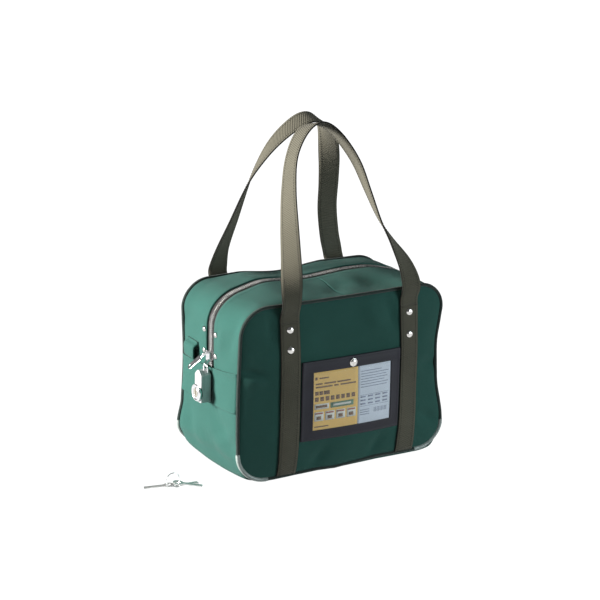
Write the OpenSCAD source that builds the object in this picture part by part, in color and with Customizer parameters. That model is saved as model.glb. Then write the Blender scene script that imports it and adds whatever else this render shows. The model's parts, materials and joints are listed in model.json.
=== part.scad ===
// Lockable canvas deposit bag: zippered body, webbing handles, card pocket, hanging box lock and keys.
// Origin at the middle of the bag's underside. +X is to the right, the front faces -Y, +Z is up.

/* [Body] */
// Width of the body
body_w = 350; // [320:5:400]
// Depth of the body between the outer faces of the front and back panels
body_d = 200; // [180:5:220]
// Height of the body
body_h = 270; // [260:5:290]
// Radius of the four corners of the front and back panels
corner_r = 45; // [40:1:60]
// Thickness of the canvas
cloth_t = 1.6; // [1.2:0.1:2]

/* [Piping and corner guards] */
// Radius of the piping cord that edges both panels
piping_r = 3; // [2.4:0.1:3]
// Outer radius of the clear vinyl sleeves on the lower corners
guard_r = 4; // [3.8:0.1:4]
// Width of the binding tape inside the seams
binding_w = 6; // [4:0.5:8]

/* [Straps and handles] */
// Width of the webbing
strap_w = 32; // [28:1:34]
// Thickness of the webbing
strap_t = 2.4; // [1.8:0.1:2.6]
// Distance between the centres of the two straps on one panel
strap_pitch = 204; // [204:1:214]
// Sideways offset of the sewn straps from the panel's middle, seen the same way from outside each panel
trim_shift = 4; // [0:1:6]
// Height at which the sewn straps end and the handles begin
strap_top = 246; // [242:1:248]
// Radius of the strap rivet's dome
rivet_r = 5.75; // [5:0.25:7]
// Height of the lower strap rivet
rivet_low = 200; // [190:1:204]
// Height of the upper strap rivet
rivet_high = 234; // [228:1:236]

/* [Zip] */
// Half width of the zip's tape
tape_half = 12.3; // [11:0.1:12.3]
// Half width of the two rows of teeth together
teeth_half = 4; // [3:0.1:4.2]
// Half width of the slot left between the canvas edges
zip_slot_half = 9; // [7:0.5:10]
// Length of the slider
slider_len = 17; // [14:1:18]

/* [Card pocket] */
// Width of the vinyl pocket
pocket_w = 168; // [150:1:170]
// Height of the vinyl pocket
pocket_h = 123; // [110:1:125]
// Height of the pocket's lower edge above the base
pocket_low = 58; // [50:1:60]
// Width of the clear window
window_w = 133; // [120:1:136]
// Height of the clear window
window_h = 88.5; // [80:0.5:90]

/* [Lock] */
// Width of the lock case along the bag's depth
case_w = 20; // [18:1:24]
// Thickness of the lock case away from the bag
case_t = 17; // [15:1:18]
// Height of the lock case
case_h = 49; // [45:1:52]
// Radius of the raised key cylinder
cylinder_r = 13; // [10:0.5:13]

/* [Keys] */
// Mean radius of the key ring
ring_r = 11; // [11:0.5:13]
// Length of each key
key_len = 44; // [40:1:50]

/* [Hidden] */
$fn = 64;

half_w = body_w / 2;
half_d = body_d / 2;
eps = 0.01;
big = 1000;

// The seam: the piping's centre lies this far in from both outer faces, and the canvas stops clear of it
seam_in = guard_r;
panel_inset = 2 * guard_r + 0.2;
gusset_y = half_d - panel_inset;
sleeve_gap = 0.15;
seam_r = corner_r - seam_in;

// The zip's layers, as depths inward from the gusset's outer face
tape_in = cloth_t + 0.1;
tape_t = 0.6;
teeth_out = 1;
zip_gap_half = 0.8;

// The two top flaps run between these ends, and the lower gusset's side joins lie under the side bands
flap_half = half_w - corner_r - 0.2;
corner_from = flap_half + 0.5;
side_join = 120;
band_front = [111, 172];
band_mid = [103, 159];
band_back = [99, 154];
teeth_low = 160.5;

// Straps lie flat on the panels
strap_left = trim_shift - strap_pitch / 2;
strap_right = trim_shift + strap_pitch / 2;
strap_low = panel_inset + 0.3;
rivet_h = 2.8;
rivet_shank_r = 2;
hole_play = 0.05;
washer_t = 1;

// Handles start just above the straps, a little outside them, so that they can fold right down
handle_y = half_d + 1.5 * strap_t + 0.4;
handle_low = strap_top + 1.6;
handle_lean = 17.5;
steps_per_span = 3;

// Each row is a point on the handle's middle line, then its twist in degrees
front_route = [
    [strap_left, -handle_y, handle_low, 0], [strap_left, -handle_y, 274, 0],
    [-95, -93, 325, 15], [-91, -79, 380, 25], [-83, -61, 430, 36], [-67, -42, 474, 56],
    [-38, -25, 506, 80], [-8, -19.5, 514, 90], [20, -24, 496, 88], [45, -38, 456, 84],
    [60, -52, 410, 76], [72, -66, 370, 66], [86, -80, 338, 50], [101, -95, 304, 20],
    [strap_right, -handle_y, 276, 0], [strap_right, -handle_y, handle_low, 0]
];
back_route = [
    [-strap_right, handle_y, handle_low, 0], [-strap_right, handle_y, 272, 0],
    [-106, 92, 306, 8], [-97, 73, 355, 16], [-87, 57, 403, 28], [-78, 45, 436, 46],
    [-61, 31, 472, 70], [-38, 22, 498, 84], [-10, 18.5, 514, 90], [14, 19.5, 510, 86],
    [33, 26, 488, 72], [45, 38, 446, 48], [53, 51, 404, 30], [61, 67, 358, 18],
    [74, 86, 310, 8], [-strap_left - 2, handle_y, 274, 0], [-strap_left, handle_y, handle_low, 0]
];

// Card pocket layers, as distances out from the front panel
backing_t = 0.8;
card_t = 0.4;
film_t = 0.3;
frame_t = 1.2;
rim_w = 5;
frame_from = backing_t + card_t + film_t + 0.2;
pocket_left = trim_shift - pocket_w / 2;
pocket_top = pocket_low + pocket_h;
window_left = pocket_left + 19;
window_low = pocket_low + 15.5;
window_top = window_low + window_h;
lip_low = window_top + 1.2;
snap_x = trim_shift + 1;
snap_z = pocket_top - 10;
snap_r = 6.5;

// Slider on the left side of the bag
side_x = -half_w;
slider_low = 166.5;
plate_t = 2.4;
slider_half = 5.5;
slider_out = side_x - teeth_out - 0.6;
tab_pivot = [side_x - 9.5, 0, slider_low + 13];
tab_bar_half = 4.5;
tab_bar_r = 1.1;
tab_w = 8;
tab_t = 1.6;
tab_len = 34;
tab_out = 45;
lug_y = -4;
lug_t = 3;
lug_r = 3.5;
lock_pivot = [side_x - 9, lug_y, slider_low - 2];

// Lock case hangs on the shackle
shackle_r = 1.5;
shackle_bend = 5.5;
shackle_leg = 13;
case_in = side_x - 5;
case_top = lock_pivot[2] - 7.5;
case_low = case_top - case_h;
cylinder_z = case_low + 15;
cylinder_h = 4;
plug_r = 6;
plug_len = 14;
running_play = 0.05;
side_rivet_y = 17.5;
side_rivet_r = 4.5;
side_rivet_z = [179, 212];

// Keys lie beside the bag's left front corner
ring_foot = [side_x - 88, -52, 0];
wire_r = 0.8;
key_t = 1.8;

// Colours
canvas_c = [0.20, 0.42, 0.36];
webbing_c = [0.42, 0.40, 0.31];
piping_c = [0.07, 0.13, 0.11];
vinyl_c = [0.10, 0.09, 0.16];
guard_c = [0.80, 0.84, 0.82];
metal_c = [0.75, 0.76, 0.77];
tape_c = [0.08, 0.08, 0.08];

// Outline of the panels, moved inward, standing on the base line
module outline(inset = 0) {
    r = corner_r - inset;
    translate([-half_w + inset, corner_r]) square([body_w - 2 * inset, body_h - 2 * corner_r]);
    translate([-half_w + corner_r, inset]) square([body_w - 2 * corner_r, body_h - 2 * inset]);
    for (x = [-half_w + corner_r, half_w - corner_r], z = [corner_r, body_h - corner_r])
        translate([x, z]) circle(r = r);
}

// Stands a shape drawn in X and Z up between two depths
module upright(y0, y1) {
    translate([0, y1, 0]) rotate([90, 0, 0]) linear_extrude(y1 - y0) children();
}

// Runs a shape drawn in Y and Z along X between two places
module along_x(x0, x1) {
    translate([x0, 0, 0]) rotate([90, 0, 90]) linear_extrude(x1 - x0) children();
}

// Strip that follows the outline, between two insets and two depths
module strip(in0, in1, y0, y1) {
    upright(y0, y1) difference() {
        outline(in0);
        outline(in1);
    }
}

// Everything between two corners
module span(low, high) {
    translate(low) cube(high - low);
}

// Side and upper corner stretch of a strip: side is -1 for left, 1 for right
module side_part(side, from_z) {
    intersection() {
        children();
        if (side < 0) span([-big, -big, from_z], [-corner_from, big, big]);
        else span([corner_from, -big, from_z], [big, big, big]);
    }
}

// Straight stretch of a strip along the top, between the two upper corners
module top_part() {
    intersection() {
        children();
        span([-flap_half, -big, body_h / 2], [flap_half, big, big]);
    }
}

// Hole along Y through everything
module hole_y(x, z, r) {
    translate([x, 0, z]) rotate([90, 0, 0]) cylinder(r = r, h = big, center = true);
}

// Panel of canvas with its rivet holes; side is -1 for front, 1 for back
module panel(side) {
    outer = side * half_d;
    y0 = min(outer, outer - side * cloth_t);
    difference() {
        upright(y0, y0 + cloth_t) outline(panel_inset);
        for (x = [strap_left, strap_right], z = [rivet_low, rivet_high])
            hole_y(-side * x, z, rivet_shank_r + hole_play);
        if (side < 0) hole_y(snap_x, snap_z, 1.5 + hole_play);
    }
}

module front_panel() {
    color(canvas_c) panel(-1);
}

module back_panel() {
    color(canvas_c) panel(1);
}

module bottom_gusset() {
    color(canvas_c) intersection() {
        strip(0, cloth_t, -gusset_y, gusset_y);
        span([-big, -big, -1], [big, big, side_join]);
    }
}

// Half of the upper gusset on one side; row is -1 for the front half, 1 for the back half
module side_gusset(side, row) {
    y0 = row < 0 ? -gusset_y : zip_slot_half;
    y1 = row < 0 ? -zip_slot_half : gusset_y;
    color(canvas_c) difference() {
        side_part(side, side_join) strip(0, cloth_t, y0, y1);
        if (side < 0)
            for (z = side_rivet_z) translate([side_x, row * side_rivet_y, z]) rotate([0, 90, 0])
                cylinder(r = 1.5 + hole_play, h = 20, center = true);
    }
}

module top_gusset(row) {
    y0 = row < 0 ? -gusset_y + 0.3 : zip_slot_half;
    y1 = row < 0 ? -zip_slot_half : gusset_y - 0.3;
    color(canvas_c) top_part() strip(0, cloth_t, y0, y1);
}

// Doubled canvas patch over the join of the zip gusset and the lower gusset
module side_band(side) {
    x0 = side < 0 ? -half_w - cloth_t : half_w;
    color(canvas_c) along_x(x0, x0 + cloth_t) polygon([
        [-gusset_y, band_front[0]], [0, band_mid[0]], [gusset_y, band_back[0]],
        [gusset_y, band_back[1]], [0, band_mid[1]], [-gusset_y, band_front[1]]
    ]);
}

// Canvas loop that stands off the side, open towards the front and the back
module side_loop() {
    low = 157;
    high = 184;
    off = 8.5;
    color(canvas_c) upright(45, 80) difference() {
        polygon([
            [side_x, low], [side_x, high], [side_x - cloth_t, high],
            [side_x - off, high - 5], [side_x - off, low + 5], [side_x - cloth_t, low]
        ]);
        polygon([
            [side_x + eps, low + 3], [side_x + eps, high - 3],
            [side_x - off + cloth_t, high - 6], [side_x - off + cloth_t, low + 6]
        ]);
    }
}

// Closed loop of piping round one panel
module piping(side) {
    x = half_w - corner_r;
    low = seam_in;
    high = body_h - seam_in;
    color(piping_c) translate([0, side * (half_d - seam_in), 0]) {
        for (z = [low, high]) translate([-x, 0, z]) rotate([0, 90, 0]) cylinder(r = piping_r, h = 2 * x);
        for (s = [-1, 1]) translate([s * (half_w - seam_in), 0, corner_r])
            cylinder(r = piping_r, h = body_h - 2 * corner_r);
        corner_tube(x, corner_r, 270, piping_r, 0);
        corner_tube(-x, corner_r, 180, piping_r, 0);
        corner_tube(x, body_h - corner_r, 0, piping_r, 0);
        corner_tube(-x, body_h - corner_r, 90, piping_r, 0);
    }
}

// Quarter bend of tube round a panel corner, solid when the bore is 0
module corner_tube(x, z, turn, r, bore) {
    translate([x, 0, z]) rotate([90, 0, 0]) rotate([0, 0, turn]) rotate_extrude(angle = 90)
        translate([seam_r, 0]) difference() {
            circle(r = r);
            if (bore > 0) circle(r = bore);
        }
}

// Clear sleeve over the piping at a lower corner
module corner_guard(side, end) {
    color(guard_c) translate([0, side * (half_d - seam_in), 0])
        corner_tube(end * (half_w - corner_r), corner_r, end < 0 ? 180 : 270, guard_r,
                    piping_r + sleeve_gap);
}

// Tape that binds the seam's raw edges inside the bag
module seam_binding(side) {
    y0 = half_d - cloth_t - 0.1;
    color(tape_c) if (side < 0) strip(panel_inset + 0.2, panel_inset + 1.4, -y0, -y0 + binding_w);
    else strip(panel_inset + 0.2, panel_inset + 1.4, y0 - binding_w, y0);
}

// Sewn strap up one panel
module strap(side, x) {
    outer = side * (half_d + strap_t);
    y0 = min(outer, side * half_d);
    color(webbing_c) difference() {
        span([x - strap_w / 2, y0, strap_low], [x + strap_w / 2, y0 + strap_t, strap_top]);
        for (z = [rivet_low, rivet_high]) hole_y(x, z, rivet_shank_r + hole_play);
    }
}

// Domed rivet: the dome sits on the face at the origin and the shank runs back along -Z
module rivet(r, h, shank_r, shank_len) {
    ball = (r * r + h * h) / (2 * h);
    rotate_extrude() {
        intersection() {
            translate([0, h - ball]) circle(r = ball);
            square([r, h]);
        }
        translate([0, -shank_len]) square([shank_r, shank_len + eps]);
    }
}

module strap_rivets(side) {
    color(metal_c) for (x = [strap_left, strap_right], z = [rivet_low, rivet_high])
        translate([-side * x, side * (half_d + strap_t), z]) rotate([side < 0 ? 90 : -90, 0, 0])
            rivet(rivet_r, rivet_h, rivet_shank_r, strap_t + cloth_t + washer_t + 0.5);
}

module strap_rivet_washers() {
    color(metal_c) for (side = [-1, 1], x = [strap_left, strap_right], z = [rivet_low, rivet_high])
        translate([-side * x, side * (half_d - cloth_t - washer_t / 2), z]) rotate([90, 0, 0])
            difference() {
                cylinder(r = 5, h = washer_t, center = true);
                cylinder(r = rivet_shank_r + hole_play, h = 3, center = true);
            }
}

// Four rivets beside the slider, with a long plate behind each pair
module side_rivets() {
    color(metal_c) for (row = [-1, 1], z = side_rivet_z)
        translate([side_x, row * side_rivet_y, z]) rotate([0, -90, 0])
            rivet(side_rivet_r, 2.2, 1.5, cloth_t + washer_t + 0.6);
}

module side_rivet_plates() {
    color(metal_c) for (row = [-1, 1]) difference() {
        translate([side_x + cloth_t, row * side_rivet_y - 5, side_rivet_z[0] - 7])
            cube([washer_t, 10, side_rivet_z[1] - side_rivet_z[0] + 14]);
        for (z = side_rivet_z) translate([side_x, row * side_rivet_y, z]) rotate([0, 90, 0])
            cylinder(r = 1.5 + hole_play, h = 20, center = true);
    }
}

// Both tapes or both rows of teeth: pair of mirrored strips beside the middle line
module zip_pair(in0, in1, y0, y1) {
    strip(in0, in1, -y1, -y0);
    strip(in0, in1, y0, y1);
}

module zip_tape_side(side) {
    color(tape_c) side_part(side, side_join + 10)
        zip_pair(tape_in, tape_in + tape_t, zip_gap_half, tape_half);
}

module zip_teeth_side(side) {
    color(metal_c) side_part(side, teeth_low) zip_pair(-teeth_out, cloth_t, zip_gap_half, teeth_half);
}

module zip_tape_top(row) {
    y0 = row < 0 ? -tape_half : zip_gap_half;
    color(tape_c) top_part() strip(tape_in, tape_in + tape_t, y0, y0 + tape_half - zip_gap_half);
}

module zip_teeth_top(row) {
    y0 = row < 0 ? -teeth_half : zip_gap_half;
    color(metal_c) top_part() strip(-teeth_out, cloth_t, y0, y0 + teeth_half - zip_gap_half);
}

// Clamped metal stops across both tapes, under the side bands
module zip_end_stops() {
    h = 3.5;
    color(metal_c) for (side = [-1, 1]) translate([side * (half_w - cloth_t / 2), 0, band_mid[1] - 8])
        cube([cloth_t, 2 * teeth_half, h], center = true);
}

// Plate of the card pocket between two distances out from the panel
module pocket_plate(x0, x1, z0, z1, out0, out1) {
    span([x0, -half_d - out1, z0], [x1, -half_d - out0, z1]);
}

module pocket_backing() {
    color(vinyl_c) difference() {
        pocket_plate(pocket_left, pocket_left + pocket_w, pocket_low, pocket_top, 0, backing_t);
        hole_y(snap_x, snap_z, 1.5 + hole_play);
    }
}

module index_card() {
    color([0.84, 0.67, 0.31]) pocket_plate(window_left - 3, window_left + window_w + 2,
        window_low - 4, snap_z - 5.5, backing_t, backing_t + card_t);
}

module window_film() {
    color([0.85, 0.88, 0.9, 0.4]) pocket_plate(window_left - 5, window_left + window_w + 5,
        window_low - 5, lip_low - 1.2, backing_t + card_t + 0.2, frame_from);
}

// Three sided frame of vinyl with a rim that closes it onto the backing
module pocket_frame() {
    right = pocket_left + pocket_w;
    top = lip_low - 0.8;
    color(vinyl_c) {
        difference() {
            pocket_plate(pocket_left, right, pocket_low, top, frame_from, frame_from + frame_t);
            pocket_plate(window_left, window_left + window_w, window_low, pocket_top + 1,
                frame_from - 1, frame_from + frame_t + 1);
        }
        difference() {
            pocket_plate(pocket_left, right, pocket_low, top, backing_t, frame_from);
            pocket_plate(pocket_left + rim_w, right - rim_w, pocket_low + rim_w, pocket_top + 1,
                0, frame_from + eps);
        }
    }
}

// Lip along the top of the pocket, which unsnaps to let the card in
module pocket_lip() {
    color(vinyl_c) difference() {
        pocket_plate(pocket_left, pocket_left + pocket_w, lip_low, pocket_top,
            frame_from, frame_from + frame_t);
        hole_y(snap_x, snap_z, 2 + hole_play);
    }
}

module snap_cap() {
    color(metal_c) translate([snap_x, -half_d - frame_from - frame_t, snap_z]) rotate([90, 0, 0])
        difference() {
            union() {
                rivet(snap_r, 2.4, 2, frame_t);
                translate([0, 0, -frame_t - 0.5]) cylinder(r = 4.5, h = 0.5);
            }
            translate([0, 0, -frame_t - 1]) cylinder(r = 1.6, h = 1.4);
        }
}

module snap_stud() {
    color(metal_c) translate([snap_x, -half_d - backing_t, snap_z]) rotate([90, 0, 0]) {
        translate([0, 0, -backing_t - cloth_t - 0.5]) cylinder(r = 1.5, h = backing_t + cloth_t + 0.5);
        cylinder(r = 1.2, h = 1.1);
        translate([0, 0, -backing_t - cloth_t - 1]) cylinder(r = 4.5, h = 1);
    }
}

// Points of a smooth curve through the rows, by Catmull-Rom spans
function blend_rows(a, b, c, d, t) =
    0.5 * ((2 * b) + (c - a) * t + (2 * a - 5 * b + 4 * c - d) * t * t
        + (3 * b - 3 * c + d - a) * t * t * t);
function row_at(p, i) = p[max(0, min(len(p) - 1, i))];
function smooth_rows(p, n) = [
    for (i = [0 : len(p) - 2], k = [0 : n - 1])
        blend_rows(row_at(p, i - 1), p[i], p[i + 1], row_at(p, i + 2), k / n),
    p[len(p) - 1]
];
function place(row) = [row[0], row[1], row[2]];
function unit(v) = v / norm(v);
function tangent(p, i) = unit(place(row_at(p, i + 1)) - place(row_at(p, i - 1)));

// Corners of the webbing's section at one row; side is -1 for the front handle, 1 for the back
function section(p, i, side) =
    let (
        t = tangent(p, i),
        out = unit([0, side * cos(handle_lean), sin(handle_lean)]),
        across = unit(cross(t, out)),
        up = unit(cross(across, t)),
        twist = p[i][3],
        wide = across * cos(twist) + up * sin(twist),
        thin = cross(t, wide)
    )
    [for (k = [[-1, -1], [1, -1], [1, 1], [-1, 1]])
        place(p[i]) + wide * (k[0] * strap_w / 2) + thin * (k[1] * strap_t / 2)];

// Band of webbing swept along a route
module webbing(route, side) {
    rows = smooth_rows(route, steps_per_span);
    n = len(rows);
    points = [for (i = [0 : n - 1]) each section(rows, i, side)];
    sides = [for (i = [0 : n - 2], k = [0 : 3])
        [4 * i + k, 4 * i + (k + 1) % 4, 4 * i + 4 + (k + 1) % 4, 4 * i + 4 + k]];
    last = 4 * (n - 1);
    polyhedron(points, concat([[3, 2, 1, 0]], sides, [[last, last + 1, last + 2, last + 3]]));
}

module handle_front() {
    color(webbing_c) webbing(front_route, -1);
}

module handle_back() {
    color(webbing_c) webbing(back_route, 1);
}

// Slider: two plates joined by a thin post, a headed bar for the pull tab and a lug for the shackle
module zip_slider() {
    inner = side_x + tape_in + tape_t + 0.5;
    lug_x = lock_pivot[0];
    lug_z = lock_pivot[2];
    reach = tab_bar_half * sin(45);
    color(metal_c) difference() {
        union() {
            span([slider_out - plate_t, -slider_half, slider_low],
                [slider_out, slider_half, slider_low + slider_len]);
            span([inner, -slider_half, slider_low], [inner + 1.6, slider_half, slider_low + slider_len]);
            span([slider_out - 1, -0.4, slider_low + 5], [inner + 1, 0.4, slider_low + 14]);
            translate([lug_x, lug_y + lug_t / 2, lug_z]) rotate([90, 0, 0])
                cylinder(r = lug_r, h = lug_t);
            span([lug_x, lug_y - lug_t / 2, lug_z], [slider_out - 1, lug_y + lug_t / 2, lug_z + 6]);
            translate(tab_pivot) rotate([0, 0, -45]) rotate([90, 0, 0])
                cylinder(r = tab_bar_r, h = 2 * tab_bar_half, center = true);
            translate(tab_pivot) rotate([0, 0, -45]) translate([0, 0.6 - tab_bar_half, 0])
                rotate([90, 0, 0]) cylinder(r = 1.8, h = 1.2, center = true);
            span([tab_pivot[0] + reach - 1.4, reach - 1.4, tab_pivot[2] - 1.5],
                [slider_out - 1, reach + 1.4, tab_pivot[2] + 1.5]);
        }
        translate([lug_x, 0, lug_z]) rotate([90, 0, 0]) cylinder(r = 2, h = 30, center = true);
    }
}

// Flat pull with a barrel round the slider's bar and a finger hole near its end
module pull_tab() {
    color(metal_c) translate(tab_pivot) rotate([0, 0, -45]) rotate([0, tab_out, 0]) difference() {
        union() {
            rotate([90, 0, 0]) cylinder(r = 2.4, h = 4.6, center = true);
            translate([-tab_t / 2, -2.3, -9]) cube([tab_t, 4.6, 8]);
            translate([-tab_t / 2, -tab_w / 2, -tab_len + 4]) cube([tab_t, tab_w, tab_len - 12]);
            translate([0, 0, -tab_len + 4]) rotate([0, 90, 0])
                cylinder(r = tab_w / 2, h = tab_t, center = true);
        }
        rotate([90, 0, 0]) cylinder(r = tab_bar_r + 0.3, h = 20, center = true);
        translate([0, 0, -tab_len + 4]) rotate([0, 90, 0]) cylinder(r = 2.2, h = 10, center = true);
    }
}

// Round wire bow with two straight legs that enter the case
module lock_shackle() {
    bend_z = lock_pivot[2] - shackle_bend;
    color(metal_c) translate([lock_pivot[0], lug_y, bend_z]) {
        rotate([0, 0, 90]) rotate([90, 0, 0]) rotate_extrude(angle = 180)
            translate([shackle_bend, 0]) circle(r = shackle_r);
        for (s = [-1, 1]) translate([0, s * shackle_bend, -shackle_leg])
            cylinder(r = shackle_r, h = shackle_leg);
    }
}

// Case with a peaked top, bored for the shackle's legs and for the plug
module lock_case() {
    w = case_w / 2;
    color(metal_c) difference() {
        along_x(case_in - case_t, case_in) translate([lug_y, 0]) polygon([
            [-w, case_low], [w, case_low], [w, case_top - 7],
            [w - 7, case_top], [7 - w, case_top], [-w, case_top - 7]
        ]);
        for (s = [-1, 1])
            translate([lock_pivot[0], lug_y + s * shackle_bend, case_top - 18])
                cylinder(r = shackle_r + running_play, h = 30);
        translate([case_in - case_t - 1, lug_y, cylinder_z]) rotate([0, 90, 0])
            cylinder(r = plug_r + running_play, h = plug_len - cylinder_h + 1.5);
    }
}

module key_cylinder() {
    color(metal_c) translate([case_in - case_t - cylinder_h, lug_y, cylinder_z]) rotate([0, 90, 0])
        difference() {
            cylinder(r = cylinder_r, h = cylinder_h);
            translate([0, 0, -1]) cylinder(r = plug_r + running_play, h = cylinder_h + 2);
        }
}

// Plug that the key turns, with its keyhole
module lock_plug() {
    color(metal_c) translate([case_in - case_t - cylinder_h, lug_y, cylinder_z]) rotate([0, 90, 0])
        difference() {
            cylinder(r = plug_r, h = plug_len);
            translate([-4, -0.8, -1]) cube([8, 1.6, 9]);
        }
}

// Split ring standing on the floor, through the keys' bows
module key_ring() {
    color(metal_c) translate([0, 0, ring_r + wire_r]) translate(ring_foot) rotate([90, 0, 0])
        rotate_extrude() translate([ring_r, 0]) circle(r = wire_r);
}

// Flat key: bow with a large hole, then a notched blade; it lies along +X from the hole's far rim
module key(turn, from_x, rise, dip, hole_r) {
    bow_r = hole_r + 4;
    blade_w = 7;
    color(metal_c) translate(ring_foot + [from_x, 0, rise]) rotate([0, dip, turn]) linear_extrude(key_t)
        difference() {
            union() {
                circle(r = bow_r);
                translate([bow_r - 2, -blade_w / 2]) square([key_len - 2 * bow_r + 2, blade_w]);
            }
            circle(r = hole_r);
            for (k = [0 : 3]) translate([bow_r + 5 + 4.5 * k, blade_w / 2]) circle(r = 1.4, $fn = 4);
        }
}

module key_1() {
    key(0, 5.2, 2.2, 2.6, 4);
}

module key_2() {
    key(155, -7.6, 4.6, 6.2, 4);
}

module key_3() {
    key(-32, 8.4, 5.6, 6.2, 4);
}

front_panel();
back_panel();
bottom_gusset();
side_gusset(-1, -1);  // side_gusset_left_front
side_gusset(-1, 1);  // side_gusset_left_back
side_gusset(1, -1);  // side_gusset_right_front
side_gusset(1, 1);  // side_gusset_right_back
side_band(-1);  // side_band_left
side_band(1);  // side_band_right
side_loop();
piping(-1);  // piping_front
piping(1);  // piping_back
corner_guard(-1, -1);  // corner_guard_front_left
corner_guard(-1, 1);  // corner_guard_front_right
corner_guard(1, -1);  // corner_guard_back_left
corner_guard(1, 1);  // corner_guard_back_right
seam_binding(-1);  // seam_binding_front
seam_binding(1);  // seam_binding_back
strap(-1, strap_left);  // strap_front_left
strap(-1, strap_right);  // strap_front_right
strap(1, -strap_right);  // strap_back_left
strap(1, -strap_left);  // strap_back_right
strap_rivets(-1);  // strap_rivets_front
strap_rivets(1);  // strap_rivets_back
strap_rivet_washers();
side_rivets();
side_rivet_plates();
zip_tape_side(-1);  // zip_tape_left
zip_tape_side(1);  // zip_tape_right
zip_teeth_side(-1);  // zip_teeth_left
zip_teeth_side(1);  // zip_teeth_right
zip_end_stops();
pocket_backing();
index_card();
window_film();
pocket_frame();
snap_stud();
top_gusset(-1);  // top_gusset_front
zip_tape_top(-1);  // zip_tape_front
zip_teeth_top(-1);  // zip_teeth_front
top_gusset(1);  // top_gusset_back
zip_tape_top(1);  // zip_tape_back
zip_teeth_top(1);  // zip_teeth_back
handle_front();
handle_back();
zip_slider();
pull_tab();
lock_shackle();
lock_case();
key_cylinder();
lock_plug();
pocket_lip();
snap_cap();
key_ring();
key_1();
key_2();
key_3();
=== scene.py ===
import json
import math

import bpy
import numpy as np
from mathutils import Matrix, Vector, noise
from mathutils.bvhtree import BVHTree


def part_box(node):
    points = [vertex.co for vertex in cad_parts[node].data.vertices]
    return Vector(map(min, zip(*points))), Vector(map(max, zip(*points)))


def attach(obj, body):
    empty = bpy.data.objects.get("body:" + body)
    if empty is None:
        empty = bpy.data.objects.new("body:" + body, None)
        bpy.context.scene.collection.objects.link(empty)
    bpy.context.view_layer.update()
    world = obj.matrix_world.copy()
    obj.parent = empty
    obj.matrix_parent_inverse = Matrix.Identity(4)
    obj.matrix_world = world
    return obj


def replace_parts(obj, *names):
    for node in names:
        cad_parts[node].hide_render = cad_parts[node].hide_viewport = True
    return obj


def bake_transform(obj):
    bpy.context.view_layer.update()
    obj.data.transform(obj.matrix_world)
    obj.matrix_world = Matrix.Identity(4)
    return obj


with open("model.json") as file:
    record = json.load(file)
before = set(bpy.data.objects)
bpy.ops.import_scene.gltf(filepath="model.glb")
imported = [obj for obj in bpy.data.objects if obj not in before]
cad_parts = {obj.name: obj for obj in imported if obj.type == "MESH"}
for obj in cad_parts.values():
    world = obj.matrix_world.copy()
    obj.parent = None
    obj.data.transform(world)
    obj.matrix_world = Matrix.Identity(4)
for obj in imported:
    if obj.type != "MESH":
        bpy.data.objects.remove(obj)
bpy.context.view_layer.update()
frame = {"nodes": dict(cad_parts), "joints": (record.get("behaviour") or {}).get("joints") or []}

# ---------------------------------------------------------------------------
# Camera, floor and light. The bag stands on a plain white table. A large soft
# lamp stands to its left, a little behind it, and the front has weak fill.
# ---------------------------------------------------------------------------
mm = 0.001
low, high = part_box("piping_front")
body_mid = (low.z + high.z) / 2
turn, rise, tilt = (math.radians(a) for a in (-30.49, 16.68, 1.10))
camera_away = 4.603

back = Vector((math.sin(turn) * math.cos(rise), -math.cos(turn) * math.cos(rise), math.sin(rise)))
side = (-back).cross(Vector((0, 0, 1))).normalized()
above = side.cross(-back)
right = side * math.cos(tilt) + above * math.sin(tilt)
above = above * math.cos(tilt) - side * math.sin(tilt)
aim = Vector((0, 0, body_mid)) - right * 17.8 * mm + above * 98.0 * mm

camera = bpy.data.objects.new("camera", bpy.data.cameras.new("camera"))
bpy.context.scene.collection.objects.link(camera)
camera.data.lens = 183.45
camera.data.clip_end = 60
turned = Matrix((right, above, back)).transposed().to_4x4()
camera.matrix_world = Matrix.Translation(aim + back * camera_away) @ turned
bpy.context.scene.camera = camera
bpy.context.scene.view_settings.view_transform = "Standard"


def lamp(name, place, towards, size, power, colour=(1, 1, 1)):
    data = bpy.data.lights.new(name, "AREA")
    data.shape = "DISK"
    data.size = size
    data.energy = power
    data.color = colour
    o = bpy.data.objects.new(name, data)
    bpy.context.scene.collection.objects.link(o)
    o.location = place
    o.rotation_euler = (Vector(towards) - Vector(place)).to_track_quat("-Z", "Y").to_euler()
    return o


key_lamp = lamp("key_lamp", (-2.4, 0.75, 0.8), (0, 0, 0.25), 1.0, 225, (1.0, 0.985, 0.95))
fill_lamp = lamp("front_fill", (1.8, -2.2, 0.6), (0, 0, 0.2), 1.6, 40, (0.84, 0.98, 1.0))

world = bpy.data.worlds.new("studio")
bpy.context.scene.world = world
world.use_nodes = True
wn = world.node_tree.nodes
air = wn["Background"]
air.inputs["Color"].default_value = (0.96, 0.98, 1.0, 1)
air.inputs["Strength"].default_value = 0.14
seen = wn.new("ShaderNodeBackground")
seen.inputs["Color"].default_value = (1, 1, 1, 1)
seen.inputs["Strength"].default_value = 1.0
pick = wn.new("ShaderNodeMixShader")
path = wn.new("ShaderNodeLightPath")
link = world.node_tree.links.new
link(path.outputs["Is Camera Ray"], pick.inputs["Fac"])
link(air.outputs["Background"], pick.inputs[1])
link(seen.outputs["Background"], pick.inputs[2])
link(pick.outputs["Shader"], wn["World Output"].inputs["Surface"])

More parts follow.
